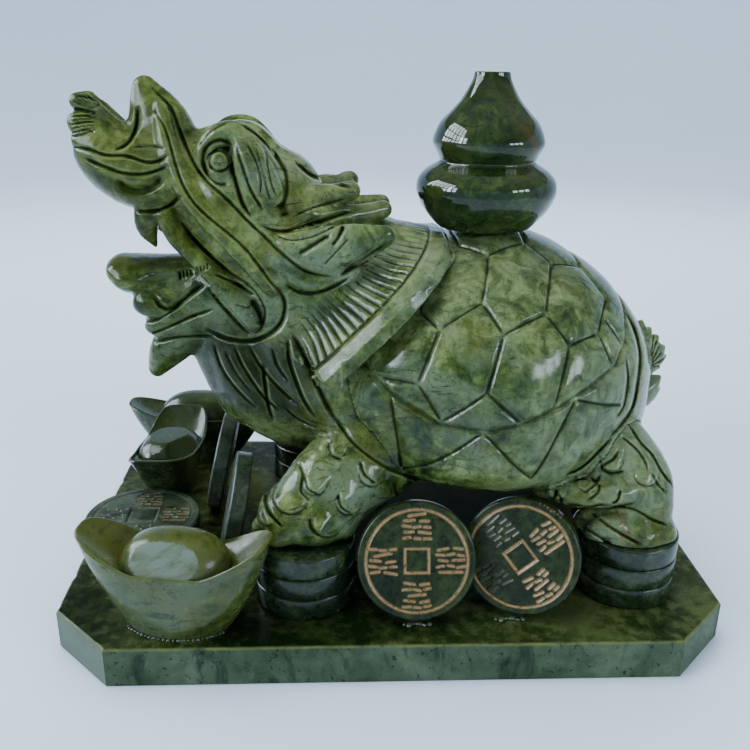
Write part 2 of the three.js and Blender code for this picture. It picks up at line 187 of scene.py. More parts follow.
def collar_field(x, y, z):
    """The leaning fluted cone between shell and neck."""
    lean = math.radians(COLLAR["lean"])
    dx, dz = x - COLLAR["x"], z - COLLAR["z"]
    forward = -math.sin(lean) * dx + math.cos(lean) * dz
    upward = math.cos(lean) * dx + math.sin(lean) * dz
    p = COLLAR["squareness"]
    r = (np.abs(upward) ** p + np.abs(y) ** p) ** (1 / p)
    angle = np.arctan2(upward, y)
    half = COLLAR["half"]
    slope = 0.38 * half / 15
    size = half - np.clip(forward, 0, COLLAR["length"]) * slope
    aside = np.abs(np.sin(COLLAR["flutes"] * angle)) * r / COLLAR["flutes"]
    cut = 1.5 * np.exp(-((aside / 0.5) ** 2)) * np.clip((forward - 3.6) / 0.6, 0, 1)
    cut = cut + 1.1 * np.exp(-(((forward - 3.4) / 0.5) ** 2))
    cone = np.maximum((r - size) / math.hypot(1, slope), (r + forward - 0.975 * half) * 0.707) + cut
    rim = np.maximum(r - half * 1.004, forward + 1.2)
    cone = np.maximum(cone, forward - COLLAR["length"])
    band = np.maximum(np.minimum(cone, rim), -7 - forward)
    return np.maximum(band, COLLAR["end"] - upward - 0.25 * forward)


NECK = [
    (1, 8, [(-8, 0, 138, 42), (-38, 0, 152, 37), (-58, 0, 172, 30), (-76, 0, 190, 22)]),
    (1, 8, [(-16, 0, 104, 41), (-46, 0, 104, 36), (-62, 0, 122, 28), (-76, 0, 142, 20)]),
    (1, 6, [(-48, 22, 134, 15), (-40, 29, 122, 15), (-32, 34, 110, 16), (-24, 36, 98, 16)]),
    (1, 6, [(-87, 0, 118, 9.6), (-79, 0, 104, 11.6), (-71, 0, 90, 12.6)]),
]
HEAD = [
    (1.1, 5, [(-56, 0, 187, 25), (-74, 0, 198, 21), (-86, 0, 199, 14)]),
    (1.4, 5, [(-84, 0, 198, 13.5), (-94, 0, 200, 12.5), (-103, 0, 206, 12)]),
    (1, 4, [(-97, 0, 206, 12), (-102.3, 0, 220, 12), (-109, 0, 236, 4.8)]),
    (1, 4, [(-109, 0, 213, 9), (-111, 0, 226, 5.3), (-111, 0, 234, 3)]),
    (1.25, 5, [(-92, 0, 198, 17), (-113, 0, 201, 18), (-126, 0, 207, 15), (-131, 0, 211, 11)]),
    (1, 2, [
        (-118, 4.5, 211, 6), (-126.5, 4.5, 220.6, 5.2), (-134, 4.5, 228.4, 4.8),
        (-137.4, 4.5, 229.8, 3.6)]),
    (1, 1.5, [(-121, 7, 212, 6.6), (-131, 7, 218.6, 6.7), (-136, 7, 221, 6)]),
    (1, 1.5, [(-124, 7, 211, 7.4), (-132, 7, 213, 6.1), (-136, 7, 214, 5)]),
    (1, 2, [
        (-84, 18, 205.5, 4), (-77, 20, 216.5, 5), (-67, 19, 217.5, 5.6), (-58, 16, 208.5, 5.6),
        (-50, 13, 195, 5)]),
    (1.2, 3, [
        (-80, 0, 209, 11), (-66, 0, 211, 11.4), (-58, 0, 203, 9), (-48, 0, 189, 7), (-36, 0, 184, 7)]),
    (1, 0.8, [(-75.2, 25, 207.6, 5.2), (-74.8, 25.1, 207.2, 5.2)]),
    (1, 1.5, [(-64, 24, 210, 7), (-61, 25, 203, 7)]),
    (1, 2, [(-66, 22, 215, 4), (-62, 24.5, 206, 8), (-57, 26, 194, 9), (-55, 25, 184, 5)]),
    (1, 6, [(-72, 14, 190, 17), (-62, 16, 178, 17), (-46, 18, 166, 16)]),
    (1, 1.5, [
        (-101, 9, 228, 3), (-97.5, 16, 211, 4.6), (-91, 22, 197, 5), (-80, 27, 184, 5),
        (-66, 31, 170, 5), (-54, 33, 156, 4.5)]),
    (1.7, 5, [(-104, 0, 192, 9), (-94, 0, 181, 10), (-84, 0, 172, 12), (-72, 0, 164, 14)]),
    (1, 1.5, [
        (-101, 16, 184, 5), (-96, 19, 174, 4.5), (-86, 22, 164, 4.5), (-72, 26, 150, 5),
        (-62, 28, 138, 5)]),
    (1, 2, [(-108, 13, 189, 6.5), (-110, 13, 178, 5), (-107, 13, 169, 1)]),
    (1, 2, [(-50, 13, 184, 7.5), (-36, 15.5, 190, 6.2), (-19.5, 17, 194.4, 4.3)]),
    (1, 2, [(-52, 19, 189, 9), (-38, 19, 184, 7.5), (-20, 15, 183, 5), (-4.6, 9, 185, 4)]),
    (0.6, 2, [(-54, 29, 175, 7), (-38, 35, 171, 10), (-22, 37, 174, 9.6), (-6, 36, 178, 5)]),
    (1, 1.5, [(-57, 28, 178, 4), (-46, 33, 164, 5), (-34, 36, 158, 5), (-18, 38, 163, 3.5)]),
]
JAW = [
    (2.2, 1.5, [(-80, 0, 157, 5), (-104, 0, 156, 5.6), (-119, 0, 153, 8.5), (-126, 0, 155, 6.8)]),
    (1.5, 4, [(-70, 0, 146, 16), (-88, 0, 145, 12), (-103, 0, 143, 10), (-113, 0, 145, 7)]),
    (1.4, 4, [(-84, 0, 134, 13), (-99, 0, 133, 10.5), (-109, 0, 132, 7.7)]),
    (1, 2, [(-104, 10, 140, 7), (-113, 9, 141, 6.5), (-117, 8, 140, 3.7)]),
    (1, 2, [(-100, 9, 132, 7), (-109, 8, 130, 5.6), (-113, 7, 129, 3.3)]),
    (1.4, 2.5, [(-92, 0, 130, 11.5), (-106, 0, 117, 9.2), (-113, 0, 106, 4.6)]),
]
LIMBS = [
    (0.85, 2, [(1, 36, 90, 25), (-12, 43, 78, 23.5), (-29, 54, 67, 20.7), (-38, 60, 59, 18)]),
    (1.4, 4, [(-24, 60, 56, 9), (-37, 60, 58, 11), (-50, 60, 60, 10.7)]),
    (1, 1.5, [(-46, 51, 57, 7), (-55, 51, 54, 5.5), (-60, 51, 51, 2)]),
    (1, 1.5, [(-46, 61, 57, 7), (-57, 62, 54, 5.5), (-62, 62, 51, 2)]),
    (1, 1.5, [(-44, 70, 57, 7), (-51, 71, 54, 5.5), (-56, 71, 51, 2)]),
    (0.9, 2.5, [(87, 34, 92, 20), (96.5, 42, 82, 20.5), (107, 51, 69, 20), (112, 56, 60, 16)]),
    (1.5, 3, [(119, 58, 47, 11), (109, 58, 49, 13), (97, 58, 47, 11)]),
    (1, 2, [(67, 58, 69, 4.5), (80, 64, 69, 5.8), (95, 66, 70, 5.8), (109, 64, 71, 5.3)]),
    (1, 1.5, [(98, 48, 55, 6), (90, 48, 53, 5), (86, 48, 51, 2)]),
    (1, 1.5, [(98, 58, 55, 6), (88, 58, 53, 5), (84, 58, 51, 2)]),
    (1, 1.5, [(98, 68, 55, 6), (91, 68, 53, 5), (87, 68, 51, 2)]),
]
TAIL = [
    (1, 6, [(104, 0, 74, 15), (114, 0, 84, 13), (121, 0, 98, 9.5), (126, 0, 111, 7.5), (124, 0, 119, 4)]),
    (1, 2, [(124, 0, 119, 4), (128, 0, 117, 4.5), (132, 0, 115, 4)]),
    (1, 1.5, [(125, 0, 115, 6), (131, 0, 114, 5.5), (134, 0, 114, 3.2)]),
    (1, 1, [(123, 0, 103, 5), (128, 0, 99, 4), (131, 0, 98, 2)]),
]


# Carved lines: points are pixels of the photograph, laid on the surface that its camera sees there

# name, width and depth in mm, how far the first side stands proud, points
GROOVES = {
    # snout, muzzle and lips
    "strap_back": (0.8, 2.2, 0.7, [
        (153, 89), (170, 107), (179, 129), (187, 149), (196, 166), (208, 182), (227, 199), (246, 219),
        (264, 236), (278, 250), (290, 260), (303, 269), (318, 275), (333, 276)]),
    "strap_front": (0.72, 1.8, -0.6, [
        (155, 112), (164, 127), (170, 146), (175, 164), (182, 184), (193, 202), (210, 219), (230, 235),
        (245, 249), (257, 264), (269, 280), (279, 291)]),
    "jaw_turn": (0.99, 2.6, 0.0, [
        (276, 286), (284, 300), (284, 313), (279, 325), (264, 337), (246, 341), (226, 338), (209, 330)]),
    "nostril_edge": (0.81, 2.4, 0.0, [(138, 108), (137, 124), (133, 136), (126, 145), (116, 150)]),
    "nostril_line": (0.56, 0.9, 0.0, [(133, 148), (150, 146), (165, 149)]),
    "lip_fold_a": (0.74, 2.0, 0.5, [
        (75, 147), (89, 149), (106, 155), (127, 156), (146, 162), (158, 161), (168, 155)]),
    "lip_fold_b": (0.74, 2.0, 0.5, [
        (86, 158), (106, 167), (124, 173), (142, 174), (158, 170), (167, 166)]),
    "lip_hollow": (2.08, 3.0, 0.0, [(116, 180), (128, 188), (140, 190), (152, 186), (163, 176)]),
    "lobe_split": (0.56, 1.6, 0.0, [(73, 109), (86, 110), (97, 113)]),
    "lobe_line_a": (0.43, 1.0, 0.0, [(77, 96), (86, 97), (95, 101)]),
    "lobe_line_b": (0.43, 1.0, 0.0, [(78, 117), (86, 116), (93, 118)]),
    "lobe_line_c": (0.43, 1.0, 0.0, [(75, 123), (84, 122), (93, 122)]),
    "lobe_line_d": (0.43, 1.0, 0.0, [(81, 130), (88, 130), (94, 133)]),
    "lip_edge": (0.81, 2.2, 0.0, [(137, 211), (155, 211), (170, 205), (181, 195)]),
    "band_line": (0.68, 1.7, 0.4, [
        (182, 223), (195, 240), (211, 256), (230, 272), (248, 284), (260, 298), (265, 313), (262, 327),
        (256, 333)]),
    "band_inner": (0.62, 1.8, 0.0, [(214, 274), (228, 280), (242, 287), (256, 296)]),
    # lower jaw and beard
    "leaf_edge": (0.68, 1.9, 0.0, [(208, 286), (218, 300), (228, 312), (242, 327), (250, 334)]),
    "leaf_hollow": (2.24, 2.6, 0.0, [(250, 300), (257, 308), (260, 318), (258, 326)]),
    "lower_lip": (1.12, 2.4, -0.8, [
        (153, 296), (160, 306), (170, 309), (181, 302), (193, 292), (205, 283)]),
    "lip_roll": (0.56, 1.3, 0.0, [(145, 322), (156, 320), (169, 313), (182, 304)]),
    "chin_line": (0.68, 1.8, 0.0, [(151, 334), (171, 326), (190, 317), (213, 309)]),
    "beard_top": (0.68, 1.5, 0.0, [(155, 342), (171, 338), (193, 336), (214, 336)]),
    # eye, brow and temple
    "eye_ring": (0.6, 2.0, 0.0, [
        (219, 171), (213, 169), (209, 163), (210, 156), (216, 151), (223, 151), (228, 156), (230, 163),
        (226, 169), (219, 171), (213, 169)]),
    "eye_pupil": (0.5, 0.5, 0.0, [
        (222, 163), (218, 164), (216, 160), (218, 156), (222, 157), (223, 161)]),
    "eye_lid": (0.8, 2.6, 0.0, [(206, 172), (203, 160), (205, 149), (212, 142), (222, 140), (229, 144)]),
    "eye_under": (0.74, 2.0, 0.0, [(205, 168), (210, 179), (218, 184), (227, 184)]),
    "brow_roll": (2.0, -1.6, 0.0, [
        (198, 161), (199, 148), (207, 137), (219, 131), (231, 133), (239, 143)]),
    "cheek_bulge": (3.6, -1.8, 0.0, [(239, 150), (243, 163), (249, 178)]),
    "eye_corner": (0.93, 2.8, 0.0, [
        (227, 137), (230, 150), (232, 168), (236, 182), (242, 202), (251, 217)]),
    "brow_edge": (0.5, 1.0, 0.0, [(198, 148), (207, 136), (218, 127), (228, 123)]),
    "brow_line": (0.56, 1.3, 0.4, [(240, 124), (254, 133), (268, 146), (279, 160)]),
    "crest_line": (0.56, 1.2, 0.0, [(244, 116), (256, 121), (268, 130), (284, 147)]),
    "temple_a": (0.56, 1.2, 0.0, [(247, 144), (256, 162), (261, 179), (260, 196)]),
    "temple_b": (0.56, 1.0, 0.0, [(266, 150), (268, 168), (272, 186), (277, 197)]),
    "cheek_lock_a": (0.7, 1.8, 0.5, [(236, 147), (243, 168), (251, 190), (263, 210)]),
    "cheek_lock_b": (0.5, 1.0, 0.0, [(256, 150), (262, 170), (267, 190), (271, 203)]),
    "temple_pit": (2.0, 2.6, 0.0, [(279, 203), (282, 210), (285, 217)]),
    "temple_edge": (0.93, 2.2, 0.0, [(268, 146), (278, 160), (286, 176), (286, 196), (280, 208)]),
    # horns and ear
    "horn_line": (0.74, 2.2, 0.0, [(295, 162), (312, 176), (333, 183), (352, 188)]),
    "horn_fold": (0.56, 1.0, 0.0, [(293, 217), (310, 209), (333, 202), (347, 198)]),
    "horn_under": (0.93, 2.8, 0.0, [
        (263, 226), (275, 231), (290, 231), (310, 225), (333, 217), (350, 212)]),
    "ear_top": (0.56, 1.2, 0.0, [(272, 233), (288, 240), (304, 239), (320, 234), (340, 223)]),
    "ear_slot_a": (1.18, 3.6, 0.0, [(298, 254), (313, 245), (330, 235)]),
    "ear_slot_b": (0.99, 3.0, 0.0, [(332, 246), (339, 236), (344, 226)]),
    "ear_line": (0.5, 1.0, 0.0, [(324, 265), (336, 252), (349, 238)]),
    "ear_edge": (1.12, 3.0, 0.0, [(340, 276), (354, 266), (370, 256), (384, 245)]),
    "whisker_edge": (0.81, 2.0, 0.0, [(286, 285), (302, 293), (318, 292), (334, 286), (350, 277)]),
    # locks on the neck
    "lock_a": (0.62, 1.4, 0.4, [(214, 343), (217, 355), (222, 368), (230, 381), (242, 395), (256, 408)]),
    "lock_b": (0.68, 1.6, 0.4, [(234, 346), (240, 361), (250, 378), (263, 396), (279, 411)]),
    "lock_c": (0.68, 1.6, 0.4, [(249, 346), (257, 361), (268, 376), (282, 391), (297, 404)]),
    "lock_d": (0.81, 2.2, 0.0, [(263, 364), (265, 384), (268, 404), (273, 420)]),
    "lock_e": (0.56, 1.2, 0.0, [(272, 348), (277, 365), (288, 382)]),
    "lock_f": (0.81, 2.0, 0.4, [(288, 338), (289, 359), (296, 381), (305, 402), (316, 418)]),
    "neck_edge": (1.3, 3.0, -0.9, [(292, 334), (303, 354), (313, 375), (322, 396), (334, 419)]),
    "lock_g": (0.5, 1.0, 0.0, [(225, 350), (231, 364), (240, 379), (252, 393)]),
    "lock_l": (0.56, 1.2, 0.0, [(285, 408), (300, 420), (318, 428)]),
    # scales and toes of the near front leg
    "front_scale_a": (0.68, 2.0, 1.2, [(329, 443), (331, 454), (342, 460)]),
    "front_scale_b": (0.68, 2.0, 1.2, [(304, 476), (308, 489), (319, 495)]),
    "front_scale_c": (0.68, 2.0, 1.2, [(360, 462), (365, 475), (376, 484)]),
    "front_scale_d": (0.68, 2.0, 1.2, [(338, 494), (341, 507), (352, 514)]),
    "front_scale_e": (0.68, 2.0, 1.2, [(310, 518), (312, 529), (321, 536)]),
    "front_toe_a": (0.74, 2.0, 0.0, [(267, 490), (266, 503), (271, 515), (283, 527)]),
    "front_toe_b": (0.68, 1.8, 0.0, [(299, 464), (303, 476), (301, 491), (309, 500)]),
    "front_leg_seam": (0.9, 1.4, -0.8, [
        (333, 415), (340, 426), (351, 441), (367, 455), (387, 468), (411, 478), (430, 485)]),
    "front_fold": (0.62, 1.2, 0.0, [(394, 482), (396, 494), (402, 502)]),
    # rim, bands, scales and toes at the rear
    "rim_band_a": (0.62, 1.6, 0.0, [
        (626, 312), (636, 335), (640, 357), (638, 380), (633, 405), (624, 421), (610, 437)]),
    "rim_band_b": (0.56, 1.2, 0.0, [(626, 358), (628, 380), (624, 405), (617, 417)]),
    "rim_band_c": (0.68, 1.6, 0.6, [(611, 439), (599, 451), (583, 466), (566, 475)]),
    "rear_band_a": (0.62, 1.6, 0.6, [(622, 437), (635, 448), (644, 460), (648, 471)]),
    "rear_band_b": (0.62, 1.6, 0.6, [(629, 425), (640, 442), (652, 455), (661, 471), (672, 485)]),
    "rear_band_c": (0.56, 1.4, 0.0, [(652, 473), (658, 485), (665, 492)]),
    "rear_scale_a": (0.74, 2.2, 1.0, [(619, 451), (613, 460), (602, 467), (611, 473), (624, 471)]),
    "rear_scale_b": (0.74, 2.2, 1.0, [(600, 476), (595, 485), (586, 492)]),
    "rear_scale_c": (0.74, 2.2, 1.0, [(558, 489), (554, 499), (547, 503)]),
    "rear_scale_d": (0.62, 1.8, 1.0, [(621, 490), (618, 500), (612, 504)]),
    "rear_hem": (0.8, 2.2, 0.8, [
        (550, 501), (562, 506), (574, 505), (588, 508), (600, 505), (613, 507), (632, 503)]),
    "rear_hem_notch_a": (0.7, 1.8, 0.0, [(554, 490), (560, 497), (562, 505)]),
    "rear_hem_notch_b": (0.7, 1.8, 0.0, [(590, 478), (599, 486), (597, 494), (588, 500)]),
    "rear_toe_a": (0.74, 2.0, 0.0, [(590, 512), (601, 520), (613, 529), (641, 545)]),
    "rear_toe_b": (0.68, 1.8, 0.0, [(618, 506), (636, 510), (651, 519), (666, 525)]),
    "rear_toe_c": (0.62, 1.6, 0.0, [(584, 528), (598, 536), (612, 545)]),
}

# Fine ribs: how many, and the first and the last of them
RIBS = {
    "upper_lobe": (6, [(94, 109), (84, 106), (73, 100)], [(101, 107), (96, 100), (90, 93)]),
    "middle_lobe": (7, [(98, 116), (84, 112), (68, 113)], [(98, 128), (86, 133), (72, 137)]),
    "teeth": (9, [(180, 271), (181, 279)], [(207, 263), (208, 270)]),
    "upper_tuft": (6, [(650, 362), (652, 348), (654, 333)], [(651, 366), (659, 366), (667, 364)]),
}
RIB = (0.45, 1.1, 0.0)


def rib_lines():
    """Each fine rib, spread evenly between the first and the last of its group."""
    for count, first, last in RIBS.values():
        first, last = np.array(first, float), np.array(last, float)
        for i in range(count):
            share = i / (count - 1)
            yield first + (last - first) * share


# Scales standing proud: root and tip in pixels, half width in pixels, height in mm
SCALES = [
    ((343, 434), (333, 458), 9, 2.2),
    ((325, 462), (309, 494), 12, 3.1),
    ((378, 455), (368, 486), 12, 2.5),
    ((357, 483), (344, 514), 12, 3.0),
    ((340, 508), (318, 534), 14, 2.8),
    ((302, 470), (284, 513), 17, 3.2),
    ((283, 492), (262, 524), 10, 1.6),
    ((613, 440), (611, 472), 11, 2.6),
    ((586, 462), (590, 492), 12, 2.2),
    ((648, 455), (646, 486), 12, 2.2),
    ((562, 474), (554, 500), 10, 1.9),
]

# Ragged tufts of the tail in pixels: the root of each, and then its tips
TUFTS = [
    [(643, 360), (656, 338), (663, 347), (664, 356), (659, 365)],
    [(640, 390), (659, 377), (658, 388), (653, 396), (646, 404)],
    [(637, 346), (641, 322), (649, 329), (656, 337)],
]

# Corners of the carved scutes on the near half of the shell: x and degrees from the top
CORNER = {
    "front": (28, 0), "back": (60, 0), "a": (29, 17), "b": (40, 27), "c": (59, 17), "d": (69, 28),
    "e": (85, 20), "f": (39, 34), "g": (35, 49), "h": (17, 58), "i": (10, 50), "j": (8, 78),
    "k": (43, 61), "l": (62, 53), "m": (95, 37), "n": (87, 58), "o": (72, 64), "p": (94, 72),
    "q": (65, 85), "r": (92, 51), "s": (101, 62), "t": (36, 80), "u": (18, 91), "v": (51, 90),
    "w": (-12, 76), "x": (10, 22), "y": (85, 0),
}
SCUTES = [
    "front a b c d e m n o l k g h i", "back c", "b f g", "h j u t k", "d l", "j w", "t v", "n p", "o q",
    "r s", "i x a", "e y",
]
RIM_LINE = [
    (-15, 70), (-2, 84), (17, 92), (36, 93), (51, 90), (67, 85), (82, 79), (96, 71), (103, 58), (106, 38),
    (108, 0),
]
ZIGZAG = [(-3, 84), (3, 117), (35, 93), (58, 111), (74.5, 83), (99, 90)]


def line_distance(points, line):
    """The distance of each point to a line, its place along the line, and which side it is on."""
    best = np.full(len(points), 1e6, np.float32)
    where = np.zeros(len(points), np.float32)
    side = np.zeros(len(points), np.float32)
    line = np.asarray(line, np.float32)
    lengths = np.linalg.norm(np.diff(line, axis=0), axis=1)
    start = np.concatenate([[0], np.cumsum(lengths)]) / max(lengths.sum(), 1e-6)
    for i, (a, b) in enumerate(zip(line[:-1], line[1:])):
        run = b - a
        rel = points - a
        t = np.clip(rel @ run / max(run @ run, 1e-6), 0, 1)
        d = np.linalg.norm(rel - t[:, None] * run, axis=1)
        closer = d < best
        best = np.where(closer, d, best)
        where = np.where(closer, start[i] + t * (start[i + 1] - start[i]), where)
        if line.shape[1] == 2:
            side = np.where(closer, np.sign(rel[:, 0] * run[1] - rel[:, 1] * run[0]), side)
    return best, where, side


class Band:
    """The cells near the surface, where fine carving moves it in or out."""

    def __init__(self, field, reach=4.5):
        self.field = field
        self.index = np.flatnonzero(np.abs(field.d) < reach)
        i, j, k = np.unravel_index(self.index, field.d.shape)
        spots = [field.low[0] + (i + 0.5) * FINE, (j + 0.5) * FINE, field.low[2] + (k + 0.5) * FINE]
        self.p = np.stack(spots, 1).astype(np.float32)
        self.d = field.d.ravel()[self.index].copy()
        self.n = np.stack([g.ravel()[self.index] for g in np.gradient(field.d)], 1)
        self.n /= np.maximum(np.linalg.norm(self.n, axis=1), 1e-6)[:, None]
        near = self.p * np.float32([1, -1, 1]) + np.float32([0, 0, DRAWN_LIFT]) - CAMERA.astype(np.float32)
        depth = near @ FORWARD.astype(np.float32)
        self.scale = depth / FOCAL
        across = MIDDLE + (near @ RIGHT.astype(np.float32)) / self.scale
        down = MIDDLE - (near @ UP.astype(np.float32)) / self.scale
        self.uv = np.stack([across, down], 1).astype(np.float32)
        facing = -(self.n * np.float32([1, -1, 1])) @ FORWARD.astype(np.float32)
        cell = (np.clip(self.uv, 0, PHOTO - 1) / 2).astype(int)
        seen = np.full((PHOTO // 2, PHOTO // 2), 1e6)
        surface = np.abs(self.d) < 1.2
        np.minimum.at(seen, (cell[surface, 1], cell[surface, 0]), depth[surface])
        first = depth < seen[cell[:, 1], cell[:, 0]] + 9
        self.open = np.clip(facing / 0.3 + 0.3, 0, 1) * first

    def groove(self, width, depth, proud, points):
        """Cuts a line into the skin that the camera sees; a negative depth raises it."""
        line = curve(points, 4)
        reach = 14  # pixels beyond the line where it still moves the skin
        near = (self.uv > line.min(0) - reach) & (self.uv < line.max(0) + reach)
        rows = np.flatnonzero(near[:, 0] & near[:, 1] & (self.open > 0))
        r, t, side = line_distance(self.uv[rows], line)
        r = r * self.scale[rows]
        ends = np.clip(np.minimum(t, 1 - t) * 6 + 0.25, 0, 1)
        move = depth * np.exp(-((r / width) ** 2))
        if proud:
            way = np.where(side * np.sign(proud) > 0, 1.0, -0.35)
            lift = way * np.clip(r / width, 0, 1) * np.exp(-r / 3.5)
            move = move - abs(proud) * lift
        self.d[rows] += (move * ends * self.open[rows]).astype(np.float32)

    def plate(self, root, tip, half, height):
        """Raises a tongue-shaped scale that grows from its root to a steep rounded tip."""
        run = np.subtract(tip, root).astype(float)
        length = np.linalg.norm(run)
        rel = self.uv - np.float32(root)
        along = rel @ (run / length)
        across = (rel[:, 0] * run[1] - rel[:, 1] * run[0]) / length
        body = np.sqrt(np.clip(1 - (across / half) ** 2, 0, 1))
        edge = np.clip((length - half * (1 - body) - along) / 2.0, 0, 1)
        self.d -= height * np.clip(along / length, 0, 1) * body * edge * self.open

    def groove_3d(self, width, depth, line, rows):
        """Cuts a line through points in mm, and gives the distance of each row's cell to it."""
        r = line_distance(self.p[rows], line)[0]
        self.d[rows] += (depth * np.exp(-((r / width) ** 2))).astype(np.float32)
        return r

    def write(self):
        self.field.d.ravel()[self.index] = self.d


def on_shell_line(corners, step=5.0):
    """Points of a line that follows the shell from corner to corner."""
    out = [on_shell(*corners[0])]
    for (x0, a0), (x1, a1) in zip(corners[:-1], corners[1:]):
        gap = math.dist(on_shell(x0, a0), on_shell(x1, a1))
        n = max(1, round(gap / step))
        out += [on_shell(x0 + (x1 - x0) * i / n, a0 + (a1 - a0) * i / n) for i in range(1, n + 1)]
    return out


def carve_shell(band):
    """Cuts the scutes, the rim and the zigzag under it, and gives the skin a faint ripple."""
    p = band.p
    s = shell_field(p[:, 0], p[:, 1], p[:, 2])
    rows = np.flatnonzero((np.abs(s - band.d) < 1.5) & (p[:, 0] > -35))
    cuts = [(0.75, 2.0, [CORNER[letter] for letter in scute.split()]) for scute in SCUTES]
    cuts += [(0.95, 2.6, RIM_LINE), (0.65, 1.7, ZIGZAG)]
    nearest = np.full(len(rows), 99.0)
    for width, depth, corners in cuts:
        nearest = np.minimum(nearest, band.groove_3d(width, depth, on_shell_line(corners), rows))
    band.d[rows] -= (0.9 * (1 - np.exp(-nearest / 4.5))).astype(np.float32)
    ripple = np.full(len(p), 0.13)
    ripple[rows] = 0.05
    band.d += (ripple * value_noise(p, 3.2, 1.0)).astype(np.float32)


def carve_figure():
    """The whole figure's field: its forms joined, and then its carving."""
    field = Field((-150, 0, 48), (148, 80, 244))
    part = field.window((-48, 0, 52), (132, 80, 182))
    field.d[part] = shell_field(*field.axes(part))
    part = field.window((-75, 0, 70), (30, 75, 195))
    collar = collar_field(*field.axes(part)).astype(np.float32)
    field.d[part] = smooth_min(field.d[part], collar, 1.2)
    for forms in (NECK, LIMBS, TAIL, HEAD, JAW):
        for flat, k, knots in forms:
            add(field, knots, flat, k)
    for root, *tips in TUFTS:
        start = at_pixel(*root)
        for tip in tips:
            end = at_pixel(*tip)
            add(field, [(*start, 6.4), (*((start + end) / 2), 4.4), (*end, 1.3)], 1.3, 0.9)
    band = Band(field)
    carve_shell(band)
    for width, depth, proud, points in GROOVES.values():
        band.groove(width, depth, proud, points)
    for line in rib_lines():
        band.groove(*RIB, line)
    for scale in SCALES:
        band.plate(*scale)
    band.write()
    heights = field.axes((slice(0, 1), slice(0, 1), slice(0, field.count[2])))[2]
    np.maximum(field.d, SOLE - heights, out=field.d)
    return field


def write_mark(mesh, name, values):
    """Gives each point of a mesh a value that its material reads."""
    mesh.attributes.new(name, "FLOAT", "POINT").data.foreach_set("value", values.astype(np.float32))


def field_mesh(name, field):
    """One closed mesh of the mirrored field, with its normals and a measure of how hollow each spot is."""
    whole = np.concatenate([field.d[:, ::-1], field.d], axis=1)
    soft = np.clip(whole, -3 * FINE, 3 * FINE) / FINE
    grid = openvdb.FloatGrid(3.0)
    grid.copyFromArray(soft.astype(np.float32))
    points, triangles, quads = grid.convertToPolygons(isovalue=0.0, adaptivity=0.0)
    faces = [tuple(q) for q in quads.tolist()] + [tuple(t) for t in triangles.tolist()]
    mesh = bpy.data.meshes.new(name)
    mesh.from_pydata(points.tolist(), [], faces)
    piece = bpy.data.objects.new(name, mesh)
    bpy.context.scene.collection.objects.link(piece)
    triangles_now = 2 * len(quads) + len(triangles)
    if triangles_now > LIMIT:
        thin = piece.modifiers.new("thin", "DECIMATE")
        thin.ratio = LIMIT / triangles_now
        graph = bpy.context.evaluated_depsgraph_get()
        piece.data = bpy.data.meshes.new_from_object(piece.evaluated_get(graph))
        piece.modifiers.clear()
        bpy.data.meshes.remove(mesh)
        mesh = piece.data
        mesh.name = name
    spots = np.empty(len(mesh.vertices) * 3, np.float32)
    mesh.vertices.foreach_get("co", spots)
    spots = spots.reshape(-1, 3)
    spots, normals, hollow = settle(whole, spots)
    middle = whole.shape[1] / 2
    place = np.stack([field.low[0] + (spots[:, 0] + 0.5) * FINE, (spots[:, 1] + 0.5 - middle) * FINE,
                      field.low[2] + (spots[:, 2] + 0.5) * FINE + DRAWN_LIFT], 1)
    mesh.vertices.foreach_set("co", (place * MM).astype(np.float32).ravel())
    mesh.shade_smooth()
    mesh.normals_split_custom_set_from_vertices(normals.tolist())
    write_mark(mesh, "hollow", hollow)
    mesh.update()
    return piece


def sample(volume, spots):
    """Volume values between cells."""
    top = np.array(volume.shape) - 1.001
    spots = np.clip(spots, 0, top)
    base = spots.astype(int)
    part = spots - base
    total = 0
    for dx in (0, 1):
        for dy in (0, 1):
            for dz in (0, 1):
                wx, wy, wz = np.abs(1 - np.array([dx, dy, dz]) - part).T
                corner = volume[base[:, 0] + dx, base[:, 1] + dy, base[:, 2] + dz]
                total = total + wx * wy * wz * corner
    return total


def settle(volume, spots):
    """Moves spots onto the surface, and gives its normals there and how hollow it is, from -1 to 1."""
    def slope(at, reach=0.75):
        steps = np.eye(3) * reach
        return np.stack([sample(volume, at + s) - sample(volume, at - s) for s in steps], 1) / (2 * reach)

    for _ in range(2):
        g = slope(spots)
        length2 = np.maximum((g * g).sum(1), 0.2 * FINE * FINE)
        move = sample(volume, spots)[:, None] * g / length2[:, None]
        spots = spots - np.clip(move, -0.7, 0.7)
    g = slope(spots)
    normals = g / np.maximum(np.linalg.norm(g, axis=1), 1e-6)[:, None]
    reach = 1.3
    around = 0
    for s in np.eye(3) * reach:
        around = around + sample(volume, spots + s) + sample(volume, spots - s)
    return spots, normals, np.clip(-(around / 6) / (0.3 * FINE), -1, 1)


# Meshes of the other pieces

def new_piece(name, points, faces, sharp=35):
    mesh = bpy.data.meshes.new(name)
    mesh.from_pydata((np.asarray(points) * MM).tolist(), [], faces)
    piece = bpy.data.objects.new(name, mesh)
    bpy.context.scene.collection.objects.link(piece)
    mesh.shade_smooth()
    mesh.set_sharp_from_angle(angle=math.radians(sharp))
    return piece


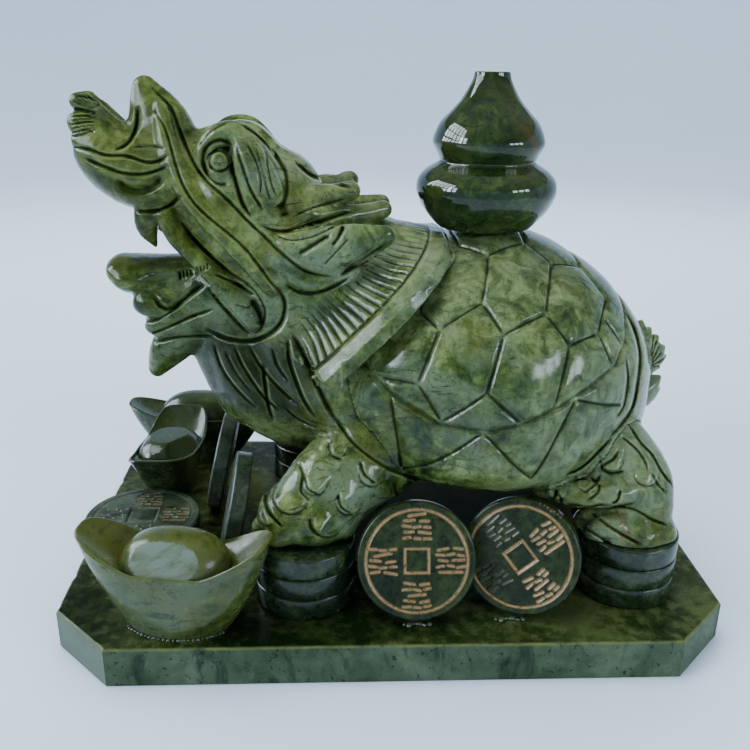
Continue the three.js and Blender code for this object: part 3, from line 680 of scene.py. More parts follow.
def skin(rings, caps=True):
    """Points and faces through rings of equal count, with a fan over each end."""
    n = len(rings[0])
    points = [p for ring in rings for p in ring]
    faces = []
    for k in range(len(rings) - 1):
        for i in range(n):
            a, b = k * n + i, k * n + (i + 1) % n
            faces.append((a, b, b + n, a + n))
    if caps:
        for ring, base, flip in ((rings[0], 0, True), (rings[-1], (len(rings) - 1) * n, False)):
            points.append(np.mean(ring, axis=0))
            for i in range(n):
                a, b = base + i, base + (i + 1) % n
                faces.append((len(points) - 1, b, a) if flip else (len(points) - 1, a, b))
    return points, faces


def lathe(profile, sides, wobble):
    """Points and faces of a turned form; wobble is added to each radius by angle and height."""
    rings = []
    for r, z in profile:
        a = np.arange(sides) * 2 * math.pi / sides
        rr = r + (np.array([wobble(v, z) for v in a]) if r > 1 else 0.0)
        rings.append(np.stack([rr * np.cos(a), rr * np.sin(a), np.full(sides, z)], 1))
    return skin(rings)


def value_noise(p, size, seed):
    """A smooth bumpy value between about -1 and 1, the same each run."""
    q = np.asarray(p, float) / size + seed
    x, y, z = q[..., 0], q[..., 1], q[..., 2]
    return (np.sin(1.7 * x + 1.3 * np.sin(1.1 * y + seed)) + np.sin(1.9 * y + 1.1 * np.sin(1.3 * z))
            + np.sin(2.3 * z + 1.7 * np.sin(0.9 * x))) / 3


GAP = 0.3  # between pieces that touch
PLINTH = dict(length=300.0, depth=203.0, height=19.0, corner=27.0, bevel=1.6)
PLINTH_TOP = PLINTH["height"] + GAP
CORNER_SHRINK = 0.586  # of the chamfered corner for each mm of inset, so that its bevel stays even
DISC = dict(radius=22.7, height=10.0, bevel=1.1, count=3)
COIN = dict(radius=26.0, thick=8.0, bevel=1.2, square=10.3)
BIG_COIN = dict(radius=28.8, thick=9.5, bevel=1.2, square=13.5)
RING = 0.853  # radius of a coin's incised ring, as a share of the coin's
COIN_SIDES = 320
GOURD = dict(x=43.0, foot=21.5, bowl=32.2, waist=22.4, bulb=25.6, neck=7.9, height=68.0)


def plinth_outline(inset):
    """The chamfered rectangle, inset evenly, with the same points on each side at every inset."""
    hx, hy = PLINTH["length"] / 2 - inset, PLINTH["depth"] / 2 - inset
    c = PLINTH["corner"] - CORNER_SHRINK * inset
    corners = np.array([(hx - c, -hy), (hx, c - hy), (hx, hy - c), (hx - c, hy),
                        (c - hx, hy), (-hx, hy - c), (-hx, c - hy), (c - hx, -hy)])
    counts = [10, 38, 10, 62] * 2
    points = []
    for a, b, n in zip(corners, np.roll(corners, -1, axis=0), counts):
        points += [a + (b - a) * i / n for i in range(n)]
    return np.array(points)


def plinth_piece():
    """The slab, with a worn bevel round its top."""
    h, b = PLINTH["height"], PLINTH["bevel"]
    rows = [(0.5, 0.0), (0.0, 0.5)] + [(0.0, 0.5 + (h - b - 0.5) * i / 4) for i in range(1, 5)]
    rows += [(b * (1 - math.cos(a)), h - b + b * math.sin(a)) for a in (0.4, 0.8, 1.2, math.pi / 2)]
    rows += [(4.0, h), (12.0, h)]
    rings = []
    for inset, z in rows:
        edge = h - b <= z and inset < 4
        ring = plinth_outline(inset)
        chips = value_noise(np.column_stack([ring, np.full(len(ring), z)]), 4.0, 2.0)
        wear = np.clip(chips - 0.62, 0, 1) * (1.8 if edge else 0.0)
        ring = ring * (1 - wear[:, None] / np.linalg.norm(ring, axis=1)[:, None])
        rings.append(np.column_stack([ring, np.full(len(ring), z) - wear * 0.6]))
    points, faces = skin(rings)
    return new_piece("plinth_looks", points, faces, sharp=28)


def stack_piece(name, x, y, seed):
    """A turned drum cut as three discs."""
    profile = []
    r, h, b = DISC["radius"], DISC["height"], DISC["bevel"]
    for i in range(DISC["count"]):
        z = i * h
        for a in (0.0, 0.5, 1.0, math.pi / 2):
            profile.append((r - b * (1 - math.sin(a)), z + b * (1 - math.cos(a))))
        profile.append((r, z + h / 2))
        for a in (math.pi / 2, 1.0, 0.5, 0.0):
            profile.append((r - b * (1 - math.sin(a)), z + h - b * (1 - math.cos(a))))
        if i + 1 < DISC["count"]:
            profile.append((r - b - 0.9, z + h))
    profile = [(r - 8, 0.0)] + profile + [(r - 3, DISC["count"] * h), (r - 9, DISC["count"] * h)]
    points, faces = lathe(profile, 96, lambda a, z: 0.12 * math.sin(3 * a + seed + z) - 0.12)
    return new_piece(name, np.array(points) + [x, y, PLINTH_TOP], faces)


def segment_distance(u, v, a, b):
    ax, ay = a
    bx, by = b[0] - ax, b[1] - ay
    t = np.clip(((u - ax) * bx + (v - ay) * by) / (bx * bx + by * by + 1e-9), 0, 1)
    return np.hypot(u - ax - t * bx, v - ay - t * by)


def inscription(size, gilded):
    """Four blocks of short strokes round the square, which spell nothing: from, to, share of gilding."""
    strokes = []
    for block in range(4):
        a = block * math.pi / 2
        middle = 0.665 * size * np.array([math.cos(a), math.sin(a)])
        for row in range(5):
            count = (1, 3, 2, 3, 2)[(row + block) % 5]
            across = 0.60 * size / count
            for k in range(count):
                x = middle[0] + (k - (count - 1) / 2) * across
                y = middle[1] + (row - 2) * 0.112 * size + 0.014 * size * math.sin(2.3 * k + block)
                half = across * (0.36 - 0.05 * ((row + k + block) % 3))
                slant = 0.18 * half * math.sin(1.9 * row + 2.7 * k + block)
                ends = np.array([x - half, y - slant]), np.array([x + half, y + slant])
                strokes.append((*ends, 1.0 if block in gilded else 0.08))
    return strokes


def coin_piece(name, shape, place, chips=(), gilded=(0, 1, 2, 3), lines=1.0):
    """A coin with a worn rim, an incised ring, a square and strokes; place moves its lying form."""
    r, thick, b, half = shape["radius"], shape["thick"], shape["bevel"], shape["square"] / 2
    rounding = r - b + b * np.sin(np.array([0.35, 0.7, 1.1, math.pi / 2]))
    steps = np.concatenate([np.linspace(0, r - b, 64), rounding])
    angles = np.arange(COIN_SIDES) * 2 * math.pi / COIN_SIDES
    strokes = inscription(r * RING, gilded)
    rings = []

    def face_ring(radius):
        u, v = radius * np.cos(angles), radius * np.sin(angles)
        square = np.abs(np.maximum(np.abs(u), np.abs(v)) - half)
        ring = np.abs(radius - RING * r) + 0 * u
        frame = np.minimum(square - 0.55, ring - 0.55)
        cut = np.clip(0.5 - frame / 0.5, 0, 1)
        gold = cut * lines
        for p, q, share in strokes:
            stroke = np.clip(0.5 - (segment_distance(u, v, p, q) - 0.62) / 0.45, 0, 1)
            cut = np.maximum(cut, stroke)
            gold = np.maximum(gold, stroke * share)
        inside = np.clip((half - np.maximum(np.abs(u), np.abs(v))) / 0.4, 0, 1) * 0.3
        return u, v, cut, gold, inside

    def rim_wear(u, v, z):
        wear = 0.25 * np.clip(value_noise(np.stack([u, v, 0 * u + z], -1), 3.1, 5.0) - 0.25, 0, 1)
        for angle, wide, deep in chips:
            off = np.abs((np.degrees(angles) - angle + 180) % 360 - 180)
            wear = wear + deep * np.exp(-((off / wide) ** 2)) * (0.6 + 0.4 * np.cos(off * 1.7))
        return wear

    for side in (1, -1):
        part = []
        for radius in steps:
            u, v, cut, gold, inside = face_ring(radius)
            drop = b - math.sqrt(max(b * b - max(radius - (r - b), 0) ** 2, 0))
            wear = rim_wear(u, v, side) * np.clip((radius - (r - 3.2)) / 3.2, 0, 1)
            gold = np.maximum(gold, np.clip(wear * 1.5 - 0.5, 0, 0.8))
            z = thick - drop - 0.55 * cut - inside - wear
            scale = 1 - (wear * 0.5 / r) * (radius > r - b)
            z = z if side > 0 else thick - z
            part.append((np.stack([u * scale, v * scale, z], 1), gold))
        rings.append(part)
    front, back = rings
    wall_x, wall_y = (r - 0.08) * np.cos(angles), (r - 0.08) * np.sin(angles)
    plain_gilt = 0 * angles
    walls = [(np.stack([wall_x, wall_y, 0 * angles + z], 1), plain_gilt)
             for z in np.linspace(b, thick - b, 5)]
    order = back[1:] + walls + front[1:][::-1]
    points, faces = skin([p for p, _ in order])
    gilt = np.concatenate([g for _, g in order] + [np.zeros(2)])
    piece = new_piece(name, place(np.array(points)), faces, sharp=50)
    write_mark(piece.data, "gilt", gilt)
    return piece


def turn_matrix(axis, degrees):
    return np.array(Matrix.Rotation(math.radians(degrees), 3, axis))


def standing(x, y, faces, lean, spin=0.0):
    """How a lying coin is moved onto its edge at x and y; faces, lean and spin are in degrees."""
    def place(points):
        p = points @ turn_matrix("Z", spin).T
        p = (p + [0, COIN["radius"], 0]) @ turn_matrix("X", 90).T
        p = (p + [0, COIN["thick"], 0]) @ turn_matrix("X", -lean).T
        p = p @ turn_matrix("Z", faces + 90).T
        return p + [x, y, PLINTH_TOP + COIN["thick"] * math.sin(math.radians(lean))]
    return place


def super_ring(length, width, power, count):
    a = 2 * math.pi * np.arange(count) / count
    c = np.sign(np.cos(a)) * np.abs(np.cos(a)) ** (2 / power)
    s = np.sign(np.sin(a)) * np.abs(np.sin(a)) ** (2 / power)
    return length / 2 * c, width / 2 * s, c


def ingot_piece(name, x, y, turn, length, width, rim, tips, foot_length, foot_width, flare, dome, chips=(),
                square=2.9, facets=(), taper=0.0, shear=0.0):
    """A boat-shaped ingot: flared wall, upswept wings, and a dome between them with ground facets.

    A facet is a point on it, the direction it faces along the ingot, across it and up, and how pale it is.
    """
    count = 144
    u_angle = np.degrees(2 * math.pi * np.arange(count) / count)

    def wing(u):
        rise = np.clip((np.abs(u) - 0.34) / 0.66, 0, 1) ** 1.25
        return rim + np.where(u > 0, tips[1] - rim, tips[0] - rim) * rise

    def between(low, high, t):
        return low + (high - low) * t

    rings = []
    foot = super_ring(foot_length, foot_width, 2.0, count)
    edge = super_ring(length, width, square, count)
    edge = (edge[0], edge[1] * (1 - taper * edge[2] ** 2), edge[2])
    middle = super_ring(between(foot_length, length, flare), between(foot_width, width, flare),
                        (square + 2) / 2, count)
    bowl = super_ring(length * 0.58, width * 0.96, min(square, 2.4), count)
    rings.append(np.stack([foot[0] * 0.9, foot[1] * 0.9, 0 * foot[0]], 1))
    for t in np.linspace(0, 1, 17):
        w0, w1, w2 = (1 - t) * (1 - 2 * t), 4 * t * (1 - t), t * (2 * t - 1)
        px = foot[0] * w0 + middle[0] * w1 + edge[0] * w2
        py = foot[1] * w0 + middle[1] * w1 + edge[1] * w2
        pz = wing(edge[2]) * t
        rings.append(np.stack([px, py, pz], 1))
    wear = 0 * u_angle
    for angle, wide, deep in chips:
        off = np.abs((u_angle - angle + 180) % 360 - 180)
        wear = wear + deep * np.exp(-((off / wide) ** 2)) * (0.8 + 0.2 * np.cos(2.1 * off))
    rings[-1][:, 2] -= 0.5 + wear
    top = wing(edge[2])
    for inset, drop in ((0.35, 0.12), (0.8, 0.0), (1.4, 0.1)):
        shrink = 1 - inset / np.maximum(np.hypot(edge[0], edge[1]), 1)
        rings.append(np.stack([edge[0] * shrink, edge[1] * shrink, top - drop - wear * (1 - inset / 3)], 1))
    inner = rings[-1]
    low = np.stack([bowl[0], bowl[1] * 0.97, 0 * bowl[0] + rim - 1.6], 1)
    for t in (0.25, 0.5, 0.75, 0.92):
        rings.append(inner * (1 - t) + low * t - [0, 0, 1.2 * math.sin(math.pi * t)])
    ground = [0 * u_angle] * len(rings)
    for s in np.concatenate([[1.0, 0.985], np.linspace(0.965, 0.05, 26)]):
        z = rim - 2.2 + (dome - rim + 2.2) * (1 - s ** 2.8) ** 0.62
        flat = 0 * u_angle
        for px, py, pz, nx, ny, nz, pale in facets:
            plane = pz - ((bowl[0] * s - px) * nx + (bowl[1] * 0.97 * s - py) * ny) / nz
            flat = np.where(plane < z, pale, flat)
            z = np.minimum(z, plane)
        z = np.maximum(z, rim - 2.4)
        ground.append(flat)
        rings.append(np.stack([bowl[0] * s, bowl[1] * 0.97 * s, 0 * bowl[0] + z], 1))
    points, faces = skin(rings)
    points = np.array(points)
    points[:, 1] -= shear * points[:, 0]
    points = points @ turn_matrix("Z", turn).T + [x, y, PLINTH_TOP]
    piece = new_piece(name, points, faces, sharp=24)
    write_mark(piece.data, "ground", np.concatenate(ground + [np.zeros(2)]))
    return piece


def gourd_piece(base):
    """The gourd, turned from a profile of (radius, height) knots."""
    g = GOURD
    knots = [(g["foot"], 0), (24.5, 3), (28.6, 8), (31.2, 13), (g["bowl"], 17), (31.2, 22), (27.4, 26),
             (g["waist"], 29.2), (23, 32), (g["bulb"], 37), (25.2, 41), (22.6, 46.5), (18.4, 51),
             (13.8, 56), (10.6, 61), (8.6, 65), (g["neck"], g["height"])]
    line = curve(knots, 8)
    profile = [(g["foot"] - 5, 0.3), (g["foot"] - 1, 0.0)] + [tuple(p) for p in line[1:-1]]
    top = g["height"]
    profile += [(g["neck"], top - 0.5), (g["neck"] - 0.6, top), (g["neck"] - 3, top)]
    points, faces = lathe(profile, 128, lambda a, z: 0.25 * math.sin(2 * a + z / 9) - 0.25)
    return new_piece("gourd_looks", np.array(points) + [g["x"], 0, base], faces, sharp=50)


def beads_piece(name, drops):
    """Small uneven drops of dried glue, each at (x, y, z, radius)."""
    points, faces = [], []
    for k, (x, y, z, r) in enumerate(drops):
        rings = []
        for i in range(1, 8):
            a = math.pi * i / 8
            t = np.arange(14) * 2 * math.pi / 14
            rr = r * math.sin(a) * (1 + 0.16 * np.sin(2 * t + k) + 0.08 * np.sin(3 * t + 2 * k))
            height = z + 0 * t - r * 0.6 * math.cos(a)
            rings.append(np.stack([x + rr * np.cos(t), y + rr * np.sin(t), height], 1))
        p, f = skin(rings)
        faces += [tuple(v + len(points) for v in face) for face in f]
        points += list(p)
    return new_piece(name, points, faces, sharp=80)


# Materials

class Nodes:
    """A material's nodes, with short calls to add and join them."""

    def __init__(self, name):
        self.material = bpy.data.materials.new(name)
        self.material.use_nodes = True
        self.tree = self.material.node_tree
        self.shader = self.tree.nodes["Principled BSDF"]

    def add(self, kind, links=None, **settings):
        node = self.tree.nodes.new(kind)
        for key, value in settings.items():
            setattr(node, key, value)
        return self.put(node, links or {})

    def put(self, node, links):
        """Joins inputs of a node to other nodes' sockets, or sets them to values."""
        for name, source in links.items():
            if isinstance(source, bpy.types.NodeSocket):
                self.tree.links.new(source, node.inputs[name])
            else:
                node.inputs[name].default_value = source
        return node

    def surface(self, links):
        self.put(self.shader, links)

    def noise(self, where, scale, detail=3.0, rough=0.5, twist=0.0):
        links = {"Vector": where, "Scale": scale, "Detail": detail, "Roughness": rough, "Distortion": twist}
        return self.add("ShaderNodeTexNoise", links).outputs["Fac"]

    def between(self, value, low, high, to_low=0.0, to_high=1.0):
        links = {"Value": value, "From Min": low, "From Max": high, "To Min": to_low, "To Max": to_high}
        return self.add("ShaderNodeMapRange", links).outputs["Result"]

    def ramp(self, value, stops):
        node = self.add("ShaderNodeValToRGB", {"Fac": value})
        ramp = node.color_ramp
        while len(ramp.elements) < len(stops):
            ramp.elements.new(0.5)
        for element, (at, colour) in zip(ramp.elements, stops):
            element.position = at
            element.color = (*colour, 1)
        return node.outputs["Color"]

    def mix(self, share, first, second):
        first, second = ((*c, 1) if isinstance(c, tuple) else c for c in (first, second))
        node = self.add("ShaderNodeMix", {0: share, 6: first, 7: second}, data_type="RGBA", blend_type="MIX")
        return node.outputs[2]

    def sum(self, a, b, operation="ADD"):
        return self.add("ShaderNodeMath", {0: a, 1: b}, operation=operation).outputs[0]

    def times(self, a, b):
        return self.sum(a, b, "MULTIPLY")

    def most(self, a, b):
        return self.sum(a, b, "MAXIMUM")

    def where(self, scale=(1, 1, 1), turn=(0, 0, 0)):
        place = self.add("ShaderNodeTexCoord").outputs["Object"]
        mapping = self.add("ShaderNodeMapping", {"Vector": place, "Scale": scale, "Rotation": turn})
        return mapping.outputs["Vector"]

    def parts(self, vector):
        return self.add("ShaderNodeSeparateXYZ", {"Vector": vector}).outputs

    def facing(self):
        return self.parts(self.add("ShaderNodeNewGeometry").outputs["Normal"])

    def mark(self, name):
        return self.add("ShaderNodeAttribute", attribute_name=name).outputs["Fac"]


def shades(colour, share):
    """The colour made darker, or lighter where share is above 1."""
    return tuple(min(1, v * share) for v in colour)


def carved_stone(n, colour, shine, blend, mottles, dark, light, cloud_and_sheen, glossy):
    """Tints parts of the figure, paints sheen on the shell and shade on the throat, and darkens and dulls
    its carved lines as painted shade; gives its colour and roughness.
    """
    place = n.parts(n.where())
    x, z = place["X"], place["Z"]
    # Painted sheen: paler mottled patches on the lower rear of the shell and just behind the collar,
    # standing in for broad reflections.
    painted_sheen = n.times(n.between(x, 0.040, 0.100), n.between(z, 0.170, 0.120))
    painted_sheen = n.times(painted_sheen, n.between(z, 0.056, 0.086))
    above = n.times(n.between(z, 0.132, 0.166, 0.0, 0.5), n.between(x, -0.022, 0.012))
    painted_sheen = n.times(n.most(painted_sheen, above), n.between(mottles, 0.38, 0.58, 0.2, 0.85))
    colour = n.mix(painted_sheen, colour, cloud_and_sheen)

    olives = n.mix(n.between(blend, 0.43, 0.57), (0.018, 0.032, 0.003), (0.098, 0.124, 0.016))
    head = n.times(n.between(x, -0.052, -0.088, 0.0, 0.62), n.between(z, 0.150, 0.166, 0.3, 1.0))
    colour = n.mix(head, colour, olives)
    # Painted shade on the throat under the head, and a slightly darker snout.
    snout = n.times(n.between(x, -0.084, -0.106), n.between(z, 0.160, 0.180))
    shaded_throat = n.times(n.between(x, -0.026, -0.046), n.between(z, 0.144, 0.128))
    shaded_throat = n.times(shaded_throat, n.between(z, 0.084, 0.100, 0.0, 0.85))
    shaded_throat = n.times(shaded_throat, n.between(x, -0.100, -0.084))
    colour = n.mix(n.most(n.times(snout, 0.15), shaded_throat), colour, shades(dark, 0.5))

    hollow = n.mark("hollow")
    # Painted shade: carved lines are darker where the surface is hollow; ridges are a little lighter.
    colour = n.mix(n.between(hollow, 0.16, 0.9, 0.0, 0.82), colour, shades(dark, 0.2))
    colour = n.mix(n.between(hollow, -0.4, -1.0, 0.0, 0.25), colour, shades(light, 1.5))
    shine = n.sum(shine, n.between(hollow, 0.1, 0.7, 0.0, 0.45))
    shine = n.sum(shine, n.times(n.sum(snout, shaded_throat), 0.10))
    calm = n.most(n.between(x, -0.046, -0.066, 0.0, 0.5), n.times(shaded_throat, 0.9))
    calm = n.most(calm, n.between(hollow, 0.0, 0.35, 0.0, 0.9))
    n.surface({"Specular IOR Level": n.between(calm, 0.0, 1.0, glossy, 0.05)})
    return colour, shine


def ground_stone(n, colour, shine, ground):
    """Paler and duller facets where the piece is marked as ground."""
    streaks = n.noise(n.where((1, 5, 1), (0.3, 0.1, 0.5)), 110.0, 4.0, 0.65)
    flat = n.times(n.mark("ground"), n.between(streaks, 0.36, 0.58, 0.3, 1.0))
    return n.mix(n.times(flat, 0.85), colour, ground), n.sum(shine, n.times(flat, 0.25))


def gilding(n, where, colour, shine, gilt):
    """Worn gold in the incised lines."""
    worn = n.between(n.noise(where, 900.0, 4.0, 0.7), 0.34, 0.48)
    mark = n.times(n.mark("gilt"), worn)
    tone = n.mix(n.noise(where, 420.0, 3.0, 0.6), shades(gilt, 0.45), gilt)
    n.surface({"Metallic": n.times(mark, 0.45)})
    return n.mix(mark, colour, tone), n.sum(shine, n.times(mark, 0.25))


def jade(name, dark, middle, light, patch=26.0, grain=150.0, rough=(0.06, 0.18), glossy=0.4, milky=0.08,
         bump=0.12, brushed=0.0, warm=None, cloud_and_sheen=None, vein=None, rust=None, painted_top_light=None, ground=None,
         gilt=None, carved=False):
    """Polished jade of large patches and fine grain, with the tints and marks that are asked for.

    rust is a colour and where along X it starts and is full; the colour for faces that look up is painted
    light from above.
    """
    n = Nodes(name)
    where = n.where()
    patches = n.noise(where, patch, 3.0, 0.6, 0.9)
    mottles = n.noise(where, patch * 3.1, 4.0, 0.64, 1.6)
    grains = n.noise(where, grain, 5.0, 0.7, 0.5)
    blend = n.sum(n.times(patches, 0.40), n.times(mottles, 0.36))
    blend = n.sum(blend, n.times(grains, 0.24))
    colour = n.ramp(blend, [(0.40, dark), (0.495, middle), (0.60, light)])
    if warm:
        tints = n.noise(n.where((1, 1.4, 1), (0.7, 0.1, 0.3)), patch * 0.8, 5.0, 0.6, 1.2)
        colour = n.mix(n.between(tints, 0.52, 0.66, 0.0, 0.75), colour, warm)
    # Pale cloud in the stone; on the carved figure this colour is also its painted sheen.
    if cloud_and_sheen:
        puffs = n.noise(n.where((1, 1, 1.6)), patch * 0.6, 4.0, 0.6, 0.7)
        colour = n.mix(n.between(puffs, 0.50, 0.64, 0.0, 0.7), colour, cloud_and_sheen)
    if vein:
        strands = n.noise(n.where((1.0, 1.0, 3.0), (0.4, 0.6, 0.2)), patch * 1.9, 7.0, 0.72, 2.2)
        colour = n.mix(n.between(strands, 0.55, 0.64, 0.0, 0.8), colour, vein)
        threads = n.noise(n.where((2.6, 1, 1), (0.2, 0.9, 0.5)), patch * 5.0, 5.0, 0.7, 1.5)
        colour = n.mix(n.between(threads, 0.57, 0.63, 0.0, 0.45), colour, vein)
    specks = n.noise(where, grain * 5.5, 2.0, 0.5)
    colour = n.mix(n.between(specks, 0.62, 0.72, 0.0, 0.55), colour, shades(dark, 0.3))
    if rust:
        tint, low, high = rust
        spots = n.noise(where, patch * 2.6, 4.0, 0.65, 0.8)
        share = n.times(n.between(spots, 0.58, 0.66, 0.0, 0.75), n.between(n.parts(where)["X"], low, high))
        colour = n.mix(share, colour, tint)
    # Painted light: faces that look up take their own tone, as light from above would give them.
    if painted_top_light:
        upward = n.between(n.facing()["Z"], 0.1, 0.5)
        colour = n.mix(n.times(upward, n.between(mottles, 0.36, 0.6, 0.1, 0.85)), colour, painted_top_light)
    shine = n.between(grains, 0.3, 0.7, *rough)
    n.surface({"Specular IOR Level": glossy})
    if carved:
        colour, shine = carved_stone(n, colour, shine, blend, mottles, dark, light, cloud_and_sheen, glossy)
    if ground:
        colour, shine = ground_stone(n, colour, shine, ground)
    if gilt:
        colour, shine = gilding(n, where, colour, shine, gilt)
    ripple = n.noise(where, 62.0, 3.0, 0.55)
    scratch = n.noise(n.where((1, 7, 1), (0.4, 0.2, 0.9)), 420.0, 2.0, 0.5)
    height = n.sum(n.times(grains, 0.25), ripple)
    height = n.sum(height, n.times(scratch, 0.06 + brushed))
    relief = n.add("ShaderNodeBump", {"Height": height, "Strength": bump, "Distance": 0.0012})
    n.surface({
        "Base Color": colour, "Roughness": shine, "Normal": relief.outputs["Normal"], "IOR": 1.5,
        "Subsurface Weight": milky, "Subsurface Radius": (0.5, 1.0, 0.35), "Subsurface Scale": 0.003})
    return n.material


def plain(name, colour, rough, shade):
    """A dull material whose colour is darker by shade in places."""
    n = Nodes(name)
    tone = n.noise(n.where(), 3.0, 3.0, 0.5)
    tone = n.mix(n.between(tone, 0.3, 0.7), shades(colour, 1 - shade), colour)
    n.surface({"Base Color": tone, "Roughness": rough})
    return n.material


FIGURE = jade(
    "figure_jade", (0.008, 0.021, 0.005), (0.052, 0.087, 0.017), (0.190, 0.245, 0.085),
    patch=30.0, rough=(0.09, 0.20), glossy=0.3, milky=0.03, bump=0.16, carved=True,
    warm=(0.082, 0.100, 0.014), cloud_and_sheen=(0.150, 0.200, 0.110), vein=(0.009, 0.023, 0.007),
    rust=((0.16, 0.075, 0.012), 0.088, 0.115),
)
GOURD_JADE = jade(
    "gourd_jade", (0.004, 0.012, 0.003), (0.013, 0.030, 0.006), (0.045, 0.075, 0.016),
    patch=34.0, rough=(0.03, 0.06), bump=0.04, warm=(0.034, 0.050, 0.010), vein=(0.005, 0.016, 0.005),
    rust=((0.10, 0.05, 0.012), 0.045, 0.066),
)
STACK_JADE = jade(
    "stack_jade", (0.004, 0.010, 0.004), (0.013, 0.026, 0.009), (0.045, 0.070, 0.030),
    patch=40.0, rough=(0.16, 0.3), vein=(0.004, 0.012, 0.010),
)
COIN_JADE = jade(
    "coin_jade", (0.003, 0.008, 0.001), (0.010, 0.020, 0.003), (0.030, 0.048, 0.010),
    patch=60.0, grain=240.0, rough=(0.22, 0.38), glossy=0.3, milky=0.03, bump=0.25, gilt=(0.48, 0.30, 0.13),
)
DULL_COIN = jade(
    "worn_coin_jade", (0.008, 0.016, 0.009), (0.026, 0.042, 0.022), (0.060, 0.085, 0.048),
    patch=60.0, grain=240.0, rough=(0.25, 0.4), bump=0.2, gilt=(0.17, 0.12, 0.04),
)
INGOT_JADE = jade(
    "ingot_jade", (0.016, 0.030, 0.006), (0.050, 0.075, 0.014), (0.110, 0.140, 0.045),
    patch=26.0, rough=(0.14, 0.3), glossy=0.3, brushed=0.3, warm=(0.070, 0.070, 0.006),
    cloud_and_sheen=(0.090, 0.118, 0.060), vein=(0.016, 0.034, 0.012), ground=(0.135, 0.180, 0.145),
    painted_top_light=(0.068, 0.080, 0.014),
)
DARK_INGOT = jade(
    "dark_ingot_jade", (0.008, 0.016, 0.005), (0.026, 0.042, 0.012), (0.065, 0.090, 0.032),
    patch=30.0, rough=(0.14, 0.3), cloud_and_sheen=(0.050, 0.070, 0.044), vein=(0.008, 0.018, 0.008),
    ground=(0.15, 0.20, 0.17), painted_top_light=(0.022, 0.036, 0.010),
)


def plinth_jade():
    """Dark polished top, and paler ground sides with dark streaks and specks; painted light on the left side
    and painted shade under the belly.
    """
    n = Nodes("plinth_jade")
    where = n.where()
    patches = n.noise(where, 17.0, 5.0, 0.6, 0.8)
    grains = n.noise(where, 170.0, 5.0, 0.65)
    blend = n.sum(n.times(patches, 0.68), n.times(grains, 0.32))
    tops = [(0.42, (0.004, 0.009, 0.002)), (0.5, (0.015, 0.026, 0.006)), (0.58, (0.052, 0.072, 0.022))]
    sides = [(0.34, (0.022, 0.040, 0.018)), (0.5, (0.056, 0.088, 0.048)), (0.64, (0.105, 0.142, 0.082))]
    streaks = n.noise(n.where((1, 1, 0.45), (0, 0.35, 0)), 50.0, 6.0, 0.68, 1.6)
    side = n.mix(n.between(streaks, 0.50, 0.64, 0.0, 0.9), n.ramp(blend, sides), (0.012, 0.026, 0.014))
    specks = n.noise(where, 420.0, 2.0, 0.5)
    side = n.mix(n.between(specks, 0.64, 0.70, 0.0, 0.8), side, (0.008, 0.015, 0.007))
    facing = n.facing()
    # Painted light: the sides that face -X are paler, as if lit from the left.
    painted_left_light = n.between(n.times(facing["X"], -1.0), 0.2, 0.7, 0.0, 0.6)
    side = n.mix(painted_left_light, side, (0.15, 0.195, 0.15))
    level = facing["Z"]
    share = n.between(level, 0.55, 0.92)
    colour = n.mix(share, side, n.ramp(blend, tops))
    edge = n.times(n.between(level, 0.15, 0.5), n.between(level, 0.96, 0.7))
    rubbed = n.between(n.noise(where, 60.0, 4.0, 0.7), 0.38, 0.6, 0.15, 0.85)
    colour = n.mix(n.times(edge, rubbed), colour, (0.13, 0.155, 0.04))

    # painted shade: the top under the belly is darker, and less polished
    place = n.parts(where)
    along = n.times(n.sum(place["X"], -0.040), 14.0)
    across = n.times(place["Y"], 17.0)
    spread = n.sum(n.times(along, along), n.times(across, across))
    shade_under_belly = n.times(n.between(spread, 1.1, 0.6), share)
    colour = n.mix(n.times(shade_under_belly, 0.8), colour, (0.002, 0.004, 0.001))
    rough = n.sum(n.between(share, 0, 1, 0.45, 0.20), n.between(grains, 0.3, 0.7, 0.0, 0.12))
    rough = n.sum(rough, n.times(shade_under_belly, 0.5))
    relief = n.add("ShaderNodeBump", {"Height": grains, "Strength": 0.12, "Distance": 0.001})
    n.surface({
        "Base Color": colour, "Roughness": rough, "Normal": relief.outputs["Normal"], "IOR": 1.4,
        "Specular IOR Level": 0.16})
    return n.material


# The pieces and what they stand for

def dress(piece, node, material):
    """Gives a piece its material, joins it to the root body, and hides the part that it stands for."""
    piece.data.materials.append(material)
    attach(piece, "root")
    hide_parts(node)


FEET = {"front": (-40.0, 62.0), "rear": (108.5, 57.5)}
FIGURE_SOLE = PLINTH_TOP + DISC["height"] * DISC["count"] + GAP
SHELL_TOP = 127.0  # above the soles

# The material and the form of each coin
COINS = {
    "coin_front": (COIN_JADE, dict(shape=COIN, place=standing(8.9, -90, faces=-90, lean=22))),
    "coin_front_tilted": (COIN_JADE, dict(
        shape=COIN, place=standing(51.5, -85.5, faces=-111, lean=18, spin=45), gilded=(0, 3),
        chips=[(20, 7, 1.1), (8, 5, 0.8), (32, 6, 0.7), (-6, 4, 0.5)])),
    "coin_standing_a": (DULL_COIN, dict(
        shape=COIN, place=standing(-96, 21, faces=180, lean=12), lines=0.5)),
    "coin_standing_b": (DULL_COIN, dict(
        shape=COIN, place=standing(-84, -29, faces=184, lean=12), lines=0.5)),
    "coin_flat": (DULL_COIN, dict(
        shape=BIG_COIN, place=lambda p: p + [-125.2, -8, PLINTH_TOP], gilded=(0, 1), lines=0.12)),
}

